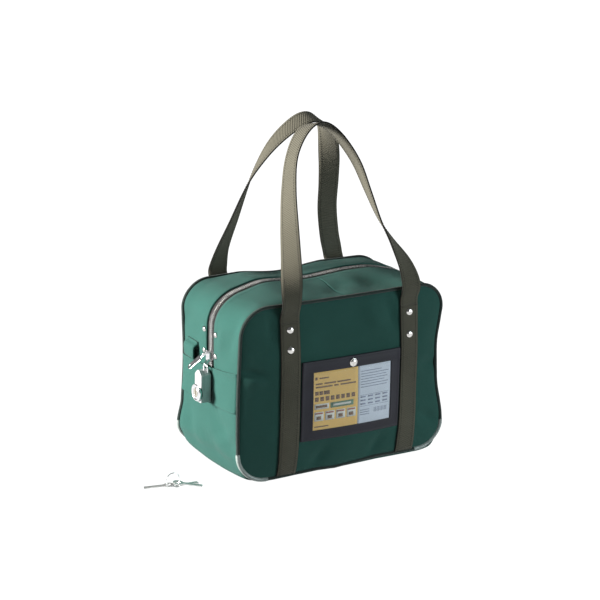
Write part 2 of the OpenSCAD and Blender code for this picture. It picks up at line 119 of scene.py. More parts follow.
bpy.ops.mesh.primitive_circle_add(vertices=96, radius=14, fill_type="NGON", location=(0, 0, 0))
floor = bpy.context.object
floor.name = "floor"
floor_paint = bpy.data.materials.new("floor_paint")
floor_paint.use_nodes = True
paint = floor_paint.node_tree.nodes["Principled BSDF"]
paint.inputs["Base Color"].default_value = (0.9, 0.9, 0.9, 1)
paint.inputs["Roughness"].default_value = 0.9
paint.inputs["Specular IOR Level"].default_value = 0.1
floor.data.materials.append(floor_paint)
floor.visible_diffuse = False
floor_sun = bpy.data.objects.new("floor_sun", bpy.data.lights.new("floor_sun", "SUN"))
floor_sun.data.energy = 3.5
floor_sun.data.angle = 0.25
bpy.context.scene.collection.objects.link(floor_sun)
floor_only = bpy.data.collections.new("floor_only")
floor_only.objects.link(floor)
floor_sun.light_linking.receiver_collection = floor_only
floor_sun.light_linking.blocker_collection = floor_only
all_but_floor = bpy.data.collections.new("all_but_floor")
all_but_floor.objects.link(floor)
all_but_floor.collection_objects[0].light_linking.link_state = "EXCLUDE"
for o in (key_lamp, fill_lamp):
    o.light_linking.receiver_collection = all_but_floor

# ---------------------------------------------------------------------------
# Canvas: plain weave cotton, piece dyed sea green. The body is five lengths of
# it: a front and a back panel, a lower gusset, and a zip gusset in two halves.
# ---------------------------------------------------------------------------
half_w = max(abs(low.x), abs(high.x)) + 1 * mm
body_h = high.z + 1 * mm
corner = 45 * mm
seam_in = 2.5 * mm
seam_y = 88 * mm
cloth = 1.6 * mm
across_cells, up_cells = 132, 100
slot_half = -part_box("top_gusset_front")[1].y + 2 * mm
gusset_cells = 16


def bump(v, centre, reach):
    """Smooth hump of height 1 at the centre, 0 beyond the reach."""
    k = np.clip(np.abs(v - centre) / reach, 0, 1)
    return (1 - k * k) ** 2


def step(v, a, b):
    k = np.clip((v - a) / (b - a), 0, 1)
    return k * k * (3 - 2 * k)


def outline_side(which, u):
    """Point on the panel's outline: half a corner, a straight, half a corner; u runs 0 to 1."""
    r = corner - seam_in
    run = (half_w if which in ("low", "top") else body_h / 2) * 2 - 2 * corner
    arc = r * math.pi / 4
    s = u * (run + 2 * arc)
    if s < arc:
        a = math.pi / 4 + s / r
        p = (-run / 2 - r * math.cos(a), r * (1 - math.sin(a)))
    elif s > arc + run:
        a = (s - arc - run) / r
        p = (run / 2 + r * math.sin(a), r * (1 - math.cos(a)))
    else:
        p = (s - arc - run / 2, 0)
    x, z = p
    half = half_w - seam_in if which in ("left", "right") else body_h / 2 - seam_in
    if which == "low":
        return x, seam_in + z
    if which == "right":
        return half - z, body_h / 2 + x
    if which == "top":
        return -x, body_h - seam_in - z
    return -half + z, body_h / 2 - x


ring = [outline_side(w, k / n) for w, n in
        (("low", across_cells), ("right", up_cells), ("top", across_cells), ("left", up_cells))
        for k in range(n)]
ring = np.array(ring)
ring_n = len(ring)
outward = np.roll(ring, -1, 0) - np.roll(ring, 1, 0)
outward = np.stack([outward[:, 1], np.zeros(ring_n), -outward[:, 0]], 1)
outward /= np.linalg.norm(outward, axis=1)[:, None]


def seam(row):
    """Closed seam line of one panel as it hangs: row is -1 for the front and 1 for the back."""
    x, z = ring[:, 0].copy(), ring[:, 1].copy()
    u = x / half_w
    y = row * (seam_y + 7 * mm * (1 - u * u))
    low_part = step(z, 62 * mm, 8 * mm)
    at_left, at_right = step(u, -0.55, -0.95), step(u, 0.55, 0.95)
    if row < 0:
        lift = np.interp(x / mm, [-175, -120, -83, -42, -14, 20, 60, 110, 175],
                         [0.8, 1.5, 3.5, 5, 4, 6.5, 9, 8, 7.5]) * mm
        x = x - at_left * 3.5 * mm * bump(z, 110 * mm, 150 * mm)
        heights = [33, 57, 82, 108, 147, 178, 194, 237]
        drawn_in = [1.6, 2.6, -2.4, -8.4, -10.4, -11.4, -8.4, -1.4]
        waist = [np.interp(z / mm + d, heights, drawn_in) for d in (-12, -6, 0, 6, 12)]
        x = x + at_right * np.mean(waist, axis=0) * mm
    else:
        lift = (2.5 + 1.5 * np.sin(x / (31 * mm))) * mm
        x = x + at_left * (3 * mm * bump(z, 150 * mm, 90 * mm) - 6 * mm * bump(z, 42 * mm, 40 * mm))
        x = x - at_right * 4 * mm * bump(z, 140 * mm, 90 * mm)
        z = z - step(z, 205 * mm, 262 * mm) * (3.5 + 7 * bump(x, -5 * mm, 75 * mm)) * mm
    z = z + lift * low_part + 0.8 * mm * low_part
    return np.stack([x, y, z], 1)


seam_front, seam_back = seam(-1), seam(1)


def coons(loop):
    """Grid of points that fills a seam loop: columns run left to right, rows bottom to top."""
    a, b = across_cells, up_cells
    low_side = loop[0:a + 1]
    right_side = loop[a:a + b + 1]
    top_side = loop[a + b:2 * a + b + 1][::-1]
    left_side = np.concatenate([loop[2 * a + b:], loop[:1]])[::-1]
    u = np.linspace(0, 1, a + 1)[None, :, None]
    v = np.linspace(0, 1, b + 1)[:, None, None]
    flat = (1 - v) * low_side[None] + v * top_side[None]
    flat = flat + (1 - u) * left_side[:, None] + u * right_side[:, None]
    return flat - ((1 - u) * (1 - v) * low_side[0] + u * (1 - v) * low_side[-1]
                   + (1 - u) * v * top_side[0] + u * v * top_side[-1])


def crease(p, q, a, b, depth, width):
    """Groove along the line a to b on a flat pair of coordinates, fading at both ends."""
    a, b = np.array(a) * mm, np.array(b) * mm
    run = b - a
    s = ((p - a[0]) * run[0] + (q - a[1]) * run[1]) / (run @ run)
    away = np.hypot(p - a[0] - s * run[0], q - a[1] - s * run[1])
    return depth * mm * np.exp(-(away / (width * mm)) ** 2) * bump(s, 0.5, 0.62)


def folded(p, q, folds):
    """Sum of several grooves. A groove of negative depth is a ridge."""
    return sum(crease(p, q, *fold) for fold in folds)


# Folds of the hanging cloth: from, to, depth and half width, in millimetres
front_folds = (((-176, 176), (-132, 166), 5.0, 6), ((-174, 166), (-136, 154), -3.2, 8),
               ((-128, 262), (-124, 205), 3.2, 9), ((66, 262), (84, 206), 4.0, 10),
               ((30, 258), (58, 212), -2.6, 12), ((130, 70), (172, 44), 4.2, 9),
               ((128, 150), (170, 138), 3.4, 10), ((-60, 8), (-30, 50), 3.2, 10),
               ((40, 12), (66, 52), 3.0, 9))
back_folds = (((-170, 150), (-120, 165), 2.4, 9), ((120, 190), (172, 170), 2.2, 9),
              ((-30, 255), (10, 190), 2.0, 14), ((-60, 20), (-10, 70), 2.0, 12))
left_folds = (((-88, 40), (10, 108), 3.2, 15), ((-60, 12), (30, 60), 2.6, 14),
              ((40, 20), (75, 92), 2.6, 13), ((-80, 78), (-20, 40), -2.0, 12),
              ((-78, 250), (-52, 186), 2.6, 13), ((88, 200), (52, 240), 1.8, 12),
              ((-40, 235), (-28, 180), -1.6, 9))
right_folds = (((-80, 60), (20, 110), 3.0, 16), ((70, 40), (20, 90), 2.6, 14),
               ((-70, 230), (-40, 180), 2.4, 14), ((76, 235), (44, 176), 2.4, 14))
top_sags = (((-20, -78), (40, -38), 3.0, 15), ((24, -72), (128, -50), 6, 32),
            ((-84, -70), (-46, -40), 1.8, 14), ((-70, 60), (-10, 40), 2.6, 18),
            ((60, 78), (112, 44), 2.4, 16), ((96, -80), (128, -66), -2.0, 9))


def panel_grid(row):
    grid = coons(seam_front if row < 0 else seam_back)
    x, z = grid[..., 0], grid[..., 2]
    u = np.linspace(-1, 1, across_cells + 1)[None, :]
    v = np.linspace(-1, 1, up_cells + 1)[:, None]
    edge = np.minimum((1 - np.abs(u)) * half_w, (1 - np.abs(v)) * body_h / 2)
    full = ((1 - u ** 2) * (1 - v ** 2)) ** 0.7
    out = (13 if row < 0 else 11) * mm * full + 1.6 * mm * (1 - np.exp(-edge / (4 * mm)))
    if row < 0:
        out = out + 2.5 * mm * bump(z, 60 * mm, 70 * mm) * bump(x, -10 * mm, 150 * mm)
    out = out - folded(x, z, front_folds if row < 0 else back_folds)
    grid[..., 1] += row * out
    return grid


def gusset_grid():
    """The whole gusset: one row for each point of the outline, columns from the front seam to the back."""
    slot_t = slot_half / seam_y
    half = np.linspace(-1, -slot_t, gusset_cells + 1)
    t = np.concatenate([half, [0], -half[::-1]])
    grid = np.zeros((ring_n, len(t), 3))
    x, z = ring[:, 0], ring[:, 1]
    on_top = step(z, 250 * mm, 266 * mm) * step(np.abs(x), 150 * mm, 88 * mm)
    at_corner = step(z, 215 * mm, 250 * mm)
    on_floor = step(z, 30 * mm, 8 * mm)
    ridge = 1.6 * mm + at_corner * 1.8 * mm
    ridge = ridge * (1 - on_top) + on_top * (13.5 + 1.3 * np.sin(x / (23 * mm)) * bump(x, 0, 130 * mm)) * mm
    shift = on_top * bump(x, 20 * mm, 150 * mm) * 5 * mm
    shift = shift - step(x, -120 * mm, -165 * mm) * step(z, 218 * mm, 242 * mm) * 3.5 * mm
    for j, tj in enumerate(t):
        k = (tj + 1) / 2
        p = seam_front * (1 - k) + seam_back * k
        depth = np.abs(p[:, 1])
        from_seam = (1 - abs(tj)) * seam_y
        wrap = 2.0 * mm * (1 - math.exp(-from_seam / (4 * mm)))
        rounded = 1 - abs(tj) ** 1.75
        g = wrap + (ridge - 2 * mm) * rounded
        g = g * (1 - on_floor) + on_floor * wrap
        p = p + outward * g[:, None]
        p[:, 1] += shift * rounded
        y = p[:, 1]
        left = step(x, -150 * mm, -168 * mm)
        p = p - outward * (1.5 * folded(y, z, left_folds) * left)[:, None]
        right_side = step(x, 150 * mm, 168 * mm)
        p = p - outward * (folded(y, z, right_folds) * right_side)[:, None]
        p[:, 2] -= folded(x, y, top_sags) * on_top
        flat = on_floor * bump(tj, 0, 1.25) ** 0.3
        p[:, 2] = p[:, 2] * (1 - flat) + flat * 1.0 * mm
        grid[:, j] = p
    return grid, t


front_grid, back_grid = panel_grid(-1), panel_grid(1)
gusset, gusset_t = gusset_grid()
gusset_cols = len(gusset_t)


def smooth_noise(p, scale, seed):
    return np.array([noise.noise(Vector(q) * scale + Vector((seed, 0, 0))) for q in p.reshape(-1, 3)]) \
        .reshape(p.shape[:-1])


# Soft unevenness of the hanging cloth, nothing at the seams
u = np.linspace(-1, 1, across_cells + 1)[None, :]
v = np.linspace(-1, 1, up_cells + 1)[:, None]
inside = np.clip(np.minimum(1 - np.abs(u), 1 - np.abs(v)) * 6, 0, 1)
for grid, row in ((front_grid, -1), (back_grid, 1)):
    wave = smooth_noise(grid, 14, 3.1 * row) * 1.8 * mm + smooth_noise(grid, 34, 7.7 * row) * 0.6 * mm
    grid[..., 1] += row * wave * inside
fade = np.clip((1 - np.abs(gusset_t)) * 5, 0, 1) * np.clip(np.abs(gusset_t) * 4, 0.25, 1)
wave = smooth_noise(gusset, 13, 5.3) * 3.0 * mm + smooth_noise(gusset, 30, 9.9) * 1.0 * mm
above_floor = step(ring[:, 1], 4 * mm, 40 * mm)[:, None, None]
gusset += outward[:, None, :] * (wave * fade[None])[..., None] * above_floor
gusset[..., 2] = np.maximum(gusset[..., 2], 0.4 * mm)


def grid_normals(p, closed=False):
    """Unit normals of a grid of points; the rows close on themselves when asked."""
    if closed:
        down = np.roll(p, -1, 0) - np.roll(p, 1, 0)
    else:
        down = np.gradient(p, axis=0)
    n = np.cross(down, np.gradient(p, axis=1))
    return n / np.maximum(np.linalg.norm(n, axis=2), 1e-9)[..., None]


front_n, back_n = grid_normals(front_grid), -grid_normals(back_grid)
gusset_n = grid_normals(gusset, True)
if front_n[20, 20, 1] > 0:
    front_n, back_n = -front_n, -back_n
if gusset_n[across_cells // 2, 8, 2] > 0:
    gusset_n = -gusset_n


def material(name, colour, roughness, metallic=0.0, **sockets):
    """Principled surface; extra words name its sockets, with _ for spaces."""
    m = bpy.data.materials.new(name)
    m.use_nodes = True
    p = m.node_tree.nodes["Principled BSDF"]
    p.inputs["Base Color"].default_value = (*colour, 1)
    p.inputs["Roughness"].default_value = roughness
    p.inputs["Metallic"].default_value = metallic
    for word, value in sockets.items():
        p.inputs[word.replace("_", " ")].default_value = value
    return m


class Nodes:
    """Short way to add and join nodes in one material."""

    def __init__(self, m):
        self.m, self.tree = m, m.node_tree
        self.shader = self.tree.nodes["Principled BSDF"]

    def add(self, kind, **values):
        n = self.tree.nodes.new(kind)
        for word, value in values.items():
            if hasattr(n, word):
                setattr(n, word, value)
            else:
                n.inputs[word.replace("_", " ")].default_value = value
        return n

    def join(self, a, b):
        self.tree.links.new(a, b)

    def noise(self, scale, detail=3.0, where=None, stretch=None):
        n = self.add("ShaderNodeTexNoise", Scale=scale, Detail=detail)
        source = where or self.add("ShaderNodeTexCoord").outputs["Object"]
        if stretch:
            warp = self.add("ShaderNodeMapping", Scale=stretch)
            self.join(source, warp.inputs["Vector"])
            source = warp.outputs["Vector"]
        self.join(source, n.inputs["Vector"])
        return n.outputs["Fac"]

    def math(self, what, a, b=None):
        n = self.add("ShaderNodeMath", operation=what)
        for k, value in enumerate((a, b)):
            if value is None:
                continue
            if isinstance(value, (int, float)):
                n.inputs[k].default_value = value
            else:
                self.join(value, n.inputs[k])
        return n.outputs["Value"]

    def ramp(self, fac, *stops):
        n = self.add("ShaderNodeValToRGB")
        while len(n.color_ramp.elements) < len(stops):
            n.color_ramp.elements.new(0.5)
        for e, (place, colour) in zip(n.color_ramp.elements, stops):
            e.position = place
            e.color = (*colour, 1)
        self.join(fac, n.inputs["Fac"])
        return n.outputs["Color"]

    def colour(self, source):
        self.join(source, self.shader.inputs["Base Color"])

    def rough(self, fac, lowest, highest):
        n = self.add("ShaderNodeMapRange")
        n.inputs["To Min"].default_value = lowest
        n.inputs["To Max"].default_value = highest
        self.join(fac, n.inputs["Value"])
        self.join(n.outputs["Result"], self.shader.inputs["Roughness"])

    def relief(self, height, distance, strength=1.0):
        n = self.add("ShaderNodeBump", Distance=distance, Strength=strength)
        self.join(height, n.inputs["Height"])
        self.join(n.outputs["Normal"], self.shader.inputs["Normal"])

    def cloth_axes(self):
        """The two directions of the cloth, in metres, from the piece's own cut."""
        uv = self.add("ShaderNodeUVMap", uv_map="cut")
        parts = self.add("ShaderNodeSeparateXYZ")
        self.join(uv.outputs["UV"], parts.inputs["Vector"])
        return uv.outputs["UV"], parts.outputs["X"], parts.outputs["Y"]


def shade(colour, k):
    return tuple(c * k for c in colour)


def woven(name, colour, thread, roughness, sheen, depth, uneven=0.12, rib=0.0):
    """Plain weave: warp and weft threads in relief, uneven dye, faint slubs and a little nap."""
    m = material(name, colour, roughness, Sheen_Weight=sheen, Sheen_Roughness=0.45)
    m.node_tree.nodes["Principled BSDF"].inputs["Specular IOR Level"].default_value = 0.25
    n = Nodes(m)
    uv, across, along = n.cloth_axes()
    turns = 2 * math.pi / thread
    warp = n.math("SINE", n.math("MULTIPLY", across, turns))
    weft = n.math("SINE", n.math("MULTIPLY", along, turns))
    weave = n.math("MULTIPLY", warp, weft)
    if rib:
        weave = n.math("ADD", n.math("MULTIPLY", weave, 0.5),
                       n.math("SINE", n.math("MULTIPLY", n.math("ADD", along, n.math("MULTIPLY", across, 0.6)),
                                             2 * math.pi / rib)))
    dye = n.noise(9, 4)
    slub = n.noise(60, 2, uv, (1, 9, 1))
    fleck = n.noise(900, 2)
    tone = n.math("ADD", n.math("MULTIPLY", dye, 0.55), n.math("MULTIPLY", slub, 0.25))
    tone = n.math("ADD", tone, n.math("MULTIPLY", fleck, 0.2))
    tone = n.math("ADD", tone, n.math("MULTIPLY", weave, 0.035))
    n.colour(n.ramp(tone, (0.25, shade(colour, 1 - 1.4 * uneven)), (0.5, colour),
                    (0.75, shade(colour, 1 + 1.4 * uneven))))
    n.rough(fleck, roughness - 0.06, roughness + 0.06)
    n.relief(n.math("ADD", weave, n.math("MULTIPLY", n.noise(350, 3), 1.2)), depth)
    return m


canvas_green = (0.025, 0.102, 0.084)
canvas = woven("canvas", canvas_green, 0.95 * mm, 0.86, 0.06, 0.16 * mm)
thread_green = woven("thread_green", (0.036, 0.100, 0.082), 0.4 * mm, 0.6, 0.1, 0.05 * mm)


def piece(name, verts, faces, materials, uv=None, kinds=None, smooth=True, flat=0):
    """One mesh piece: uv pairs go with vertices, kinds with faces, and the last flat faces stay flat."""
    mesh = bpy.data.meshes.new(name)
    mesh.from_pydata([tuple(v) for v in verts], [], [tuple(f) for f in faces])
    mesh.update()
    for m in materials if isinstance(materials, (list, tuple)) else [materials]:
        mesh.materials.append(m)
    if kinds is not None:
        mesh.polygons.foreach_set("material_index", np.array(kinds, np.int32))
    if uv is not None:
        layer = mesh.uv_layers.new(name="cut")
        index = np.zeros(len(mesh.loops), np.int32)
        mesh.loops.foreach_get("vertex_index", index)
        layer.data.foreach_set("uv", np.array(uv, np.float32)[index].reshape(-1))
    mesh.polygons.foreach_set("use_smooth", np.arange(len(faces)) < (len(faces) - flat if smooth else 0))
    o = bpy.data.objects.new(name, mesh)
    bpy.context.scene.collection.objects.link(o)
    return o


def sheet_mesh(p, n, thick, uv):
    """Closed skin of cloth: outer face at the points, inner face a thickness below."""
    rows, cols = p.shape[:2]
    outer = p.reshape(-1, 3)
    inner = (p - n * thick).reshape(-1, 3)
    count = rows * cols
    a = np.arange(count).reshape(rows, cols)
    q = np.stack([a[:-1, :-1], a[:-1, 1:], a[1:, 1:], a[1:, :-1]], -1).reshape(-1, 4)
    v = outer[q[0]]
    up = np.cross(v[1] - v[0], v[2] - v[1]) @ n.reshape(-1, 3)[q[0][0]]
    if up < 0:
        q = q[:, ::-1]
    edge = np.concatenate([a[0, :], a[1:, -1], a[-1, -2::-1], a[-2:0:-1, 0]])
    nxt = np.roll(edge, -1)
    rim = np.stack([edge, nxt, nxt + count, edge + count], 1)
    if up > 0:
        rim = rim[:, ::-1]
    faces = np.concatenate([q, q[:, ::-1] + count, rim])
    flat = uv.reshape(-1, 2)
    return np.concatenate([outer, inner]), faces, np.concatenate([flat, flat])


def cloth_piece(name, p, n, uv, m=None, thick=cloth):
    verts, faces, cut = sheet_mesh(p, n, thick, uv)
    return piece(name, verts, faces, m or canvas, cut, flat=2 * sum(p.shape[:2]) - 4)


def panel_uv(p):
    return p[..., [0, 2]]


front_panel = cloth_piece("front_panel", front_grid, front_n, panel_uv(front_grid))
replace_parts(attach(front_panel, "root"), "front_panel")
back_panel = cloth_piece("back_panel", back_grid, back_n, panel_uv(back_grid))
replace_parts(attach(back_panel, "root"), "back_panel")

ring_s = np.concatenate([[0], np.cumsum(np.linalg.norm(np.roll(ring, -1, 0) - ring, axis=1))])[:-1]
gusset_uv = np.stack([gusset[..., 1], np.repeat(ring_s[:, None], gusset_cols, 1)], -1)
join_z = 120 * mm
left_rows = np.arange(2 * across_cells + up_cells, ring_n)
right_rows = np.arange(across_cells, across_cells + up_cells)
left_join = left_rows[np.argmin(np.abs(ring[left_rows, 1] - join_z))]
right_join = right_rows[np.argmin(np.abs(ring[right_rows, 1] - join_z))]
top_mid = across_cells + up_cells + across_cells // 2
slot_front, slot_back = gusset_cells, gusset_cells + 2


def rows_from(a, b):
    """Outline rows from a to b, going round past the end when b comes before a."""
    return np.arange(a, (b if b >= a else b + ring_n) + 1) % ring_n


def gusset_part(name, rows, cols):
    cut = gusset_uv[rows][:, cols].copy()
    return cloth_piece(name, gusset[rows][:, cols], gusset_n[rows][:, cols], cut)


lower = gusset_part("bottom_gusset", rows_from(left_join, right_join), slice(None))
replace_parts(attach(lower, "root"), "bottom_gusset")

# The zip gusset's halves bend from the fixed corners to the flaps that lift
front_cols, back_cols = slice(0, slot_front + 1), slice(slot_back, None)
for end, rows in (("left", rows_from(top_mid, left_join)), ("right", rows_from(right_join, top_mid))):
    sign = -1 if end == "left" else 1
    for row, cols in (("front", front_cols), ("back", back_cols)):
        o = gusset_part(f"zip_gusset_{row}_{end}", rows, cols)
        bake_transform(o)
        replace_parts(o, f"side_gusset_{end}_{row}", f"top_gusset_{row}")

# ---------------------------------------------------------------------------
# Piping: a cord wrapped in dark bias tape, sewn into the seam all round both
# panels. Clear vinyl sleeves are slipped over it at the four lower corners.
# ---------------------------------------------------------------------------
piping_r = 2.7 * mm


def tube(points, radius, sides, closed=False, across=(0, 1, 0)):
    """Tube of given radius, or one radius for each point, with its cut running round and along it."""
    p = np.array(points)
    n = len(p)
    r = np.broadcast_to(np.asarray(radius, float), (n,))
    if closed:
        t = np.roll(p, -1, 0) - np.roll(p, 1, 0)
    else:
        t = np.gradient(p, axis=0)
    t /= np.linalg.norm(t, axis=1)[:, None]
    a = np.cross(t, np.array(across, float))
    a /= np.linalg.norm(a, axis=1)[:, None]
    b = np.cross(t, a)
    s = np.concatenate([[0], np.cumsum(np.linalg.norm(np.diff(p, axis=0), axis=1))])
    turn_by = np.linspace(0, 2 * math.pi, sides, endpoint=False)
    verts, cut = [], []
    for i in range(n):
        for w in turn_by:
            verts.append(p[i] + r[i] * (a[i] * math.cos(w) + b[i] * math.sin(w)))
            cut.append((r[i] * w, s[i]))
    faces = []
    for i in range(n if closed else n - 1):
        for k in range(sides):
            i2, k2 = (i + 1) % n, (k + 1) % sides
            faces.append((i * sides + k, i * sides + k2, i2 * sides + k2, i2 * sides + k))
    if not closed:
        faces.append(tuple(range(sides)))
        faces.append(tuple((n - 1) * sides + k for k in reversed(range(sides))))
    return np.array(verts), faces, np.array(cut)


piping_cloth = woven("piping_cloth", (0.009, 0.022, 0.018), 0.6 * mm, 0.62, 0.25, 0.10 * mm, 0.25)
guard_vinyl = material("guard_vinyl", (0.50, 0.58, 0.55), 0.22, Coat_Weight=0.6, Coat_Roughness=0.12,
                       Alpha=0.55)
n = Nodes(guard_vinyl)
scuff = n.noise(260, 4, stretch=(1, 1, 0.3))
n.colour(n.ramp(scuff, (0.3, (0.44, 0.52, 0.49)), (0.55, (0.60, 0.68, 0.65)), (0.8, (0.74, 0.80, 0.78))))
n.rough(scuff, 0.14, 0.42)
n.relief(scuff, 0.08 * mm)


for row, loop, name in ((-1, seam_front, "front"), (1, seam_back, "back")):
    line = loop + outward * 0.7 * mm + np.array([0, row, 0]) * 0.7 * mm
    line[:, 2] = np.maximum(line[:, 2], 3.6 * mm)
    pucker = 1 + 0.05 * np.array([noise.noise(Vector(q) * 90) for q in line])
    verts, faces, cut = tube(line, piping_r * pucker, 12, True)
    o = piece(f"piping_{name}", verts, faces, piping_cloth, cut)
    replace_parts(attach(o, "root"), f"piping_{name}")
    count = len(line)
    for end, middle in (("left", 0), ("right", across_cells)):
        rows = np.arange(middle - 15, middle + 16) % count
        sleeve = line[rows]
        grow = np.full(len(rows), 3.35 * mm)
        grow[[0, -1]] = 3.1 * mm
        verts, faces, cut = tube(sleeve, grow, 16)
        o = piece(f"corner_guard_{name}_{end}", verts, faces, guard_vinyl, cut)
        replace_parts(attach(o, "root"), f"corner_guard_{name}_{end}")

# ---------------------------------------------------------------------------
# Side bands: a doubled length of the same canvas over the join between the lower
# gusset and the zip gusset. Its edges are turned under and sewn, its ends go
# into the piped seams. The left one hides the end of the zip.
# ---------------------------------------------------------------------------
def ring_quads(rows, cols, closed=False):
    a = np.arange(rows * cols).reshape(rows, cols)
    b = np.roll(a, -1, 0)
    if not closed:
        a, b = a[:-1], b[:-1]
    return np.stack([a[:, :-1], a[:, 1:], b[:, 1:], b[:, :-1]], -1).reshape(-1, 4)


skin_points, skin_quads = [], []
for grid, closed in ((front_grid, False), (back_grid, False), (gusset, True)):
    skin_quads += (ring_quads(grid.shape[0], grid.shape[1], closed) + len(skin_points)).tolist()
    skin_points += grid.reshape(-1, 3).tolist()
skin = BVHTree.FromPolygons(skin_points, skin_quads)


def touch(place, direction):
    """Point of the bag's outer skin that a straight line meets, and the skin's outward normal there."""
    hit, n, _, _ = skin.ray_cast(Vector(place), Vector(direction))
    if hit is None:
        return None, None
    return np.array(hit), np.array(n if n.dot(Vector(direction)) < 0 else -n)


def touch_side(sign, y, z):
    return touch((sign * 0.4, y, z), (-sign, 0, 0))


def touch_panel(row, x, z):
    return touch((x, row * 0.4, z), (0, -row, 0))


def smoothed(p, times):
    for _ in range(times):
        q = p.copy()
        q[1:-1] = (p[:-2] + 2 * p[1:-1] + p[2:]) / 4
        p = q.copy()
        p[:, 1:-1] = (q[:, :-2] + 2 * q[:, 1:-1] + q[:, 2:]) / 4
    return p


def stitches(points, normals, pitch=3.3 * mm, lift=0.15 * mm, length=2.5 * mm, thick=0.27 * mm):
    """Row of sewn stitches that follows a line lying on cloth."""
    p, n = np.array(points, float), np.array(normals, float)
    s = np.concatenate([[0], np.cumsum(np.linalg.norm(np.diff(p, axis=0), axis=1))])
    verts, faces, cut = [], [], []
    for k in range(int((s[-1] - length) / pitch) + 1):
        middle = length / 2 + k * pitch
        q = [np.array([np.interp(middle + d, s, p[:, j]) for j in range(3)])
             for d in (-length / 2, 0, length / 2)]
        m = np.array([np.interp(middle, s, n[:, j]) for j in range(3)])
        m /= np.linalg.norm(m)
        t = (q[2] - q[0]) / np.linalg.norm(q[2] - q[0])
        side_way = np.cross(m, t)
        base = len(verts)
        for r, place, up in ((0.45, q[0], -0.1 * mm), (1, q[1], lift), (0.45, q[2], -0.1 * mm)):
            for w in np.linspace(0, 2 * math.pi, 5, endpoint=False):
                verts.append(place + m * (up + thick * r * math.sin(w)) + side_way * thick * r * math.cos(w))
                cut.append((w * thick, middle))
        for ring_k in (0, 5):
            for j in range(5):
                a, b = base + ring_k + j, base + ring_k + (j + 1) % 5
                faces.append((a, b, b + 5, a + 5))
        faces.append((base + 4, base + 3, base + 2, base + 1, base))
        faces.append((base + 10, base + 11, base + 12, base + 13, base + 14))
    return verts, faces, cut


def joined(parts):
    """Several (verts, faces, cut) as one."""
    verts, faces, cut = [], [], []
    for v, f, c in parts:
        faces += [tuple(i + len(verts) for i in face) for face in f]
        verts += list(v)
        cut += list(c)
    return verts, faces, cut


band_lines = {"front": (111, 172), "mid": (103, 159), "back": (99, 154)}
band_ends = [-seam_y + 1 * mm, 0, seam_y - 1 * mm]
band_lows = [band_lines[k][0] * mm for k in ("front", "mid", "back")]
band_tops = [band_lines[k][1] * mm for k in ("front", "mid", "back")]
hem = 6.5 * mm
v_steps = np.array([0, 0.015, 0.045, 0.08, 0.11, 0.14, 0.2, 0.3, 0.4, 0.5, 0.6, 0.7, 0.8, 0.86, 0.89, 0.92,
                    0.955, 0.985, 1])


def fair(ends, values, y):
    """Smooth line through three values."""
    a = (values[0] - 2 * values[1] + values[2]) / 2
    b = (values[2] - values[0]) / 2
    t = y / ends[2]
    return values[1] + b * t + a * t * t


for end, sign in (("left", -1), ("right", 1)):
    ys = np.linspace(band_ends[0], band_ends[2], 41)
    p = np.zeros((len(v_steps), len(ys), 3))
    n = np.zeros_like(p)
    for j, y in enumerate(ys):
        z0, z1 = fair(band_ends, band_lows, y), fair(band_ends, band_tops, y)
        for i, v in enumerate(v_steps):
            p[i, j], n[i, j] = touch_side(sign, y, z0 + v * (z1 - z0))
    n = smoothed(n, 3)
    n /= np.linalg.norm(n, axis=2)[..., None]
    from_edge = np.minimum(v_steps, 1 - v_steps) * 58 * mm
    rise_by = 2.7 * mm + 0.9 * mm * (1 - step(from_edge, hem - 1.5 * mm, hem + 1 * mm))
    rise_by = rise_by - 0.5 * mm * bump(from_edge, hem - 2.2 * mm, 1.2 * mm)
    p = smoothed(p, 2) + n * rise_by[:, None, None]
    o = cloth_piece(f"side_band_{end}", p, n, np.stack([p[..., 2], p[..., 1]], -1))
    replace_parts(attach(o, "root"), f"side_band_{end}")
    rows = [stitches(p[i], n[i]) for i in (3, 15)]
    verts, faces, cut = joined(rows)
    o = piece(f"side_band_stitches_{end}", verts, faces, thread_green, cut)
    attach(o, "root")

# ---------------------------------------------------------------------------
# Side loop: a short tab of canvas behind the zip on the left, sewn down at its
# top and caught under the band, so that it stands open like a belt loop.
# ---------------------------------------------------------------------------
low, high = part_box("side_loop")
loop_y = np.linspace(low.y, high.y - 2 * mm, 9) - 8 * mm
loop_s = np.linspace(0, 1, 29)
stand = 7.6 * mm
p = np.zeros((len(loop_s), len(loop_y), 3))
for j, y in enumerate(loop_y):
    for i, s in enumerate(loop_s):
        z = high.z + 2 * mm - s * (high.z - low.z + 6 * mm)
        hit, n = touch_side(-1, y, z)
        arch = (1 - abs(2 * np.clip((s - 0.10) / 0.82, 0, 1) - 1) ** 5) if 0.10 < s < 0.92 else 0
        p[i, j] = hit + n * (2.2 * mm + stand * arch * (1 - 0.12 * (j / 8)))
n = grid_normals(smoothed(p, 1))
if n[14, 4, 0] > 0:
    n = -n
loop = cloth_piece("side_loop", p, n, np.stack([p[..., 1], p[..., 2]], -1), thick=1.9 * mm)
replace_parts(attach(loop, "root"), "side_loop")
edge_rows = [stitches(p[:, j], n[:, j]) for j in (1, 7)] + [stitches(p[1], n[1])]
verts, faces, cut = joined(edge_rows)
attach(piece("side_loop_stitches", verts, faces, thread_green, cut), "root")

# ---------------------------------------------------------------------------
# Zip: nickel teeth on two dark tapes, sewn behind the folded edges of the zip
# gusset with two rows of thread. It runs from band to band over the top.
# ---------------------------------------------------------------------------
zip_low = 160 * mm
teeth_pitch = 3.0 * mm
tape_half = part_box("zip_tape_back")[1].y + 2.5 * mm
teeth_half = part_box("zip_teeth_back")[1].y + 1.0 * mm
start_row = right_rows[np.argmin(np.abs(ring[right_rows, 1] - zip_low))]
end_row = left_rows[np.argmin(np.abs(ring[left_rows, 1] - zip_low))]
zip_rows = rows_from(start_row, end_row)


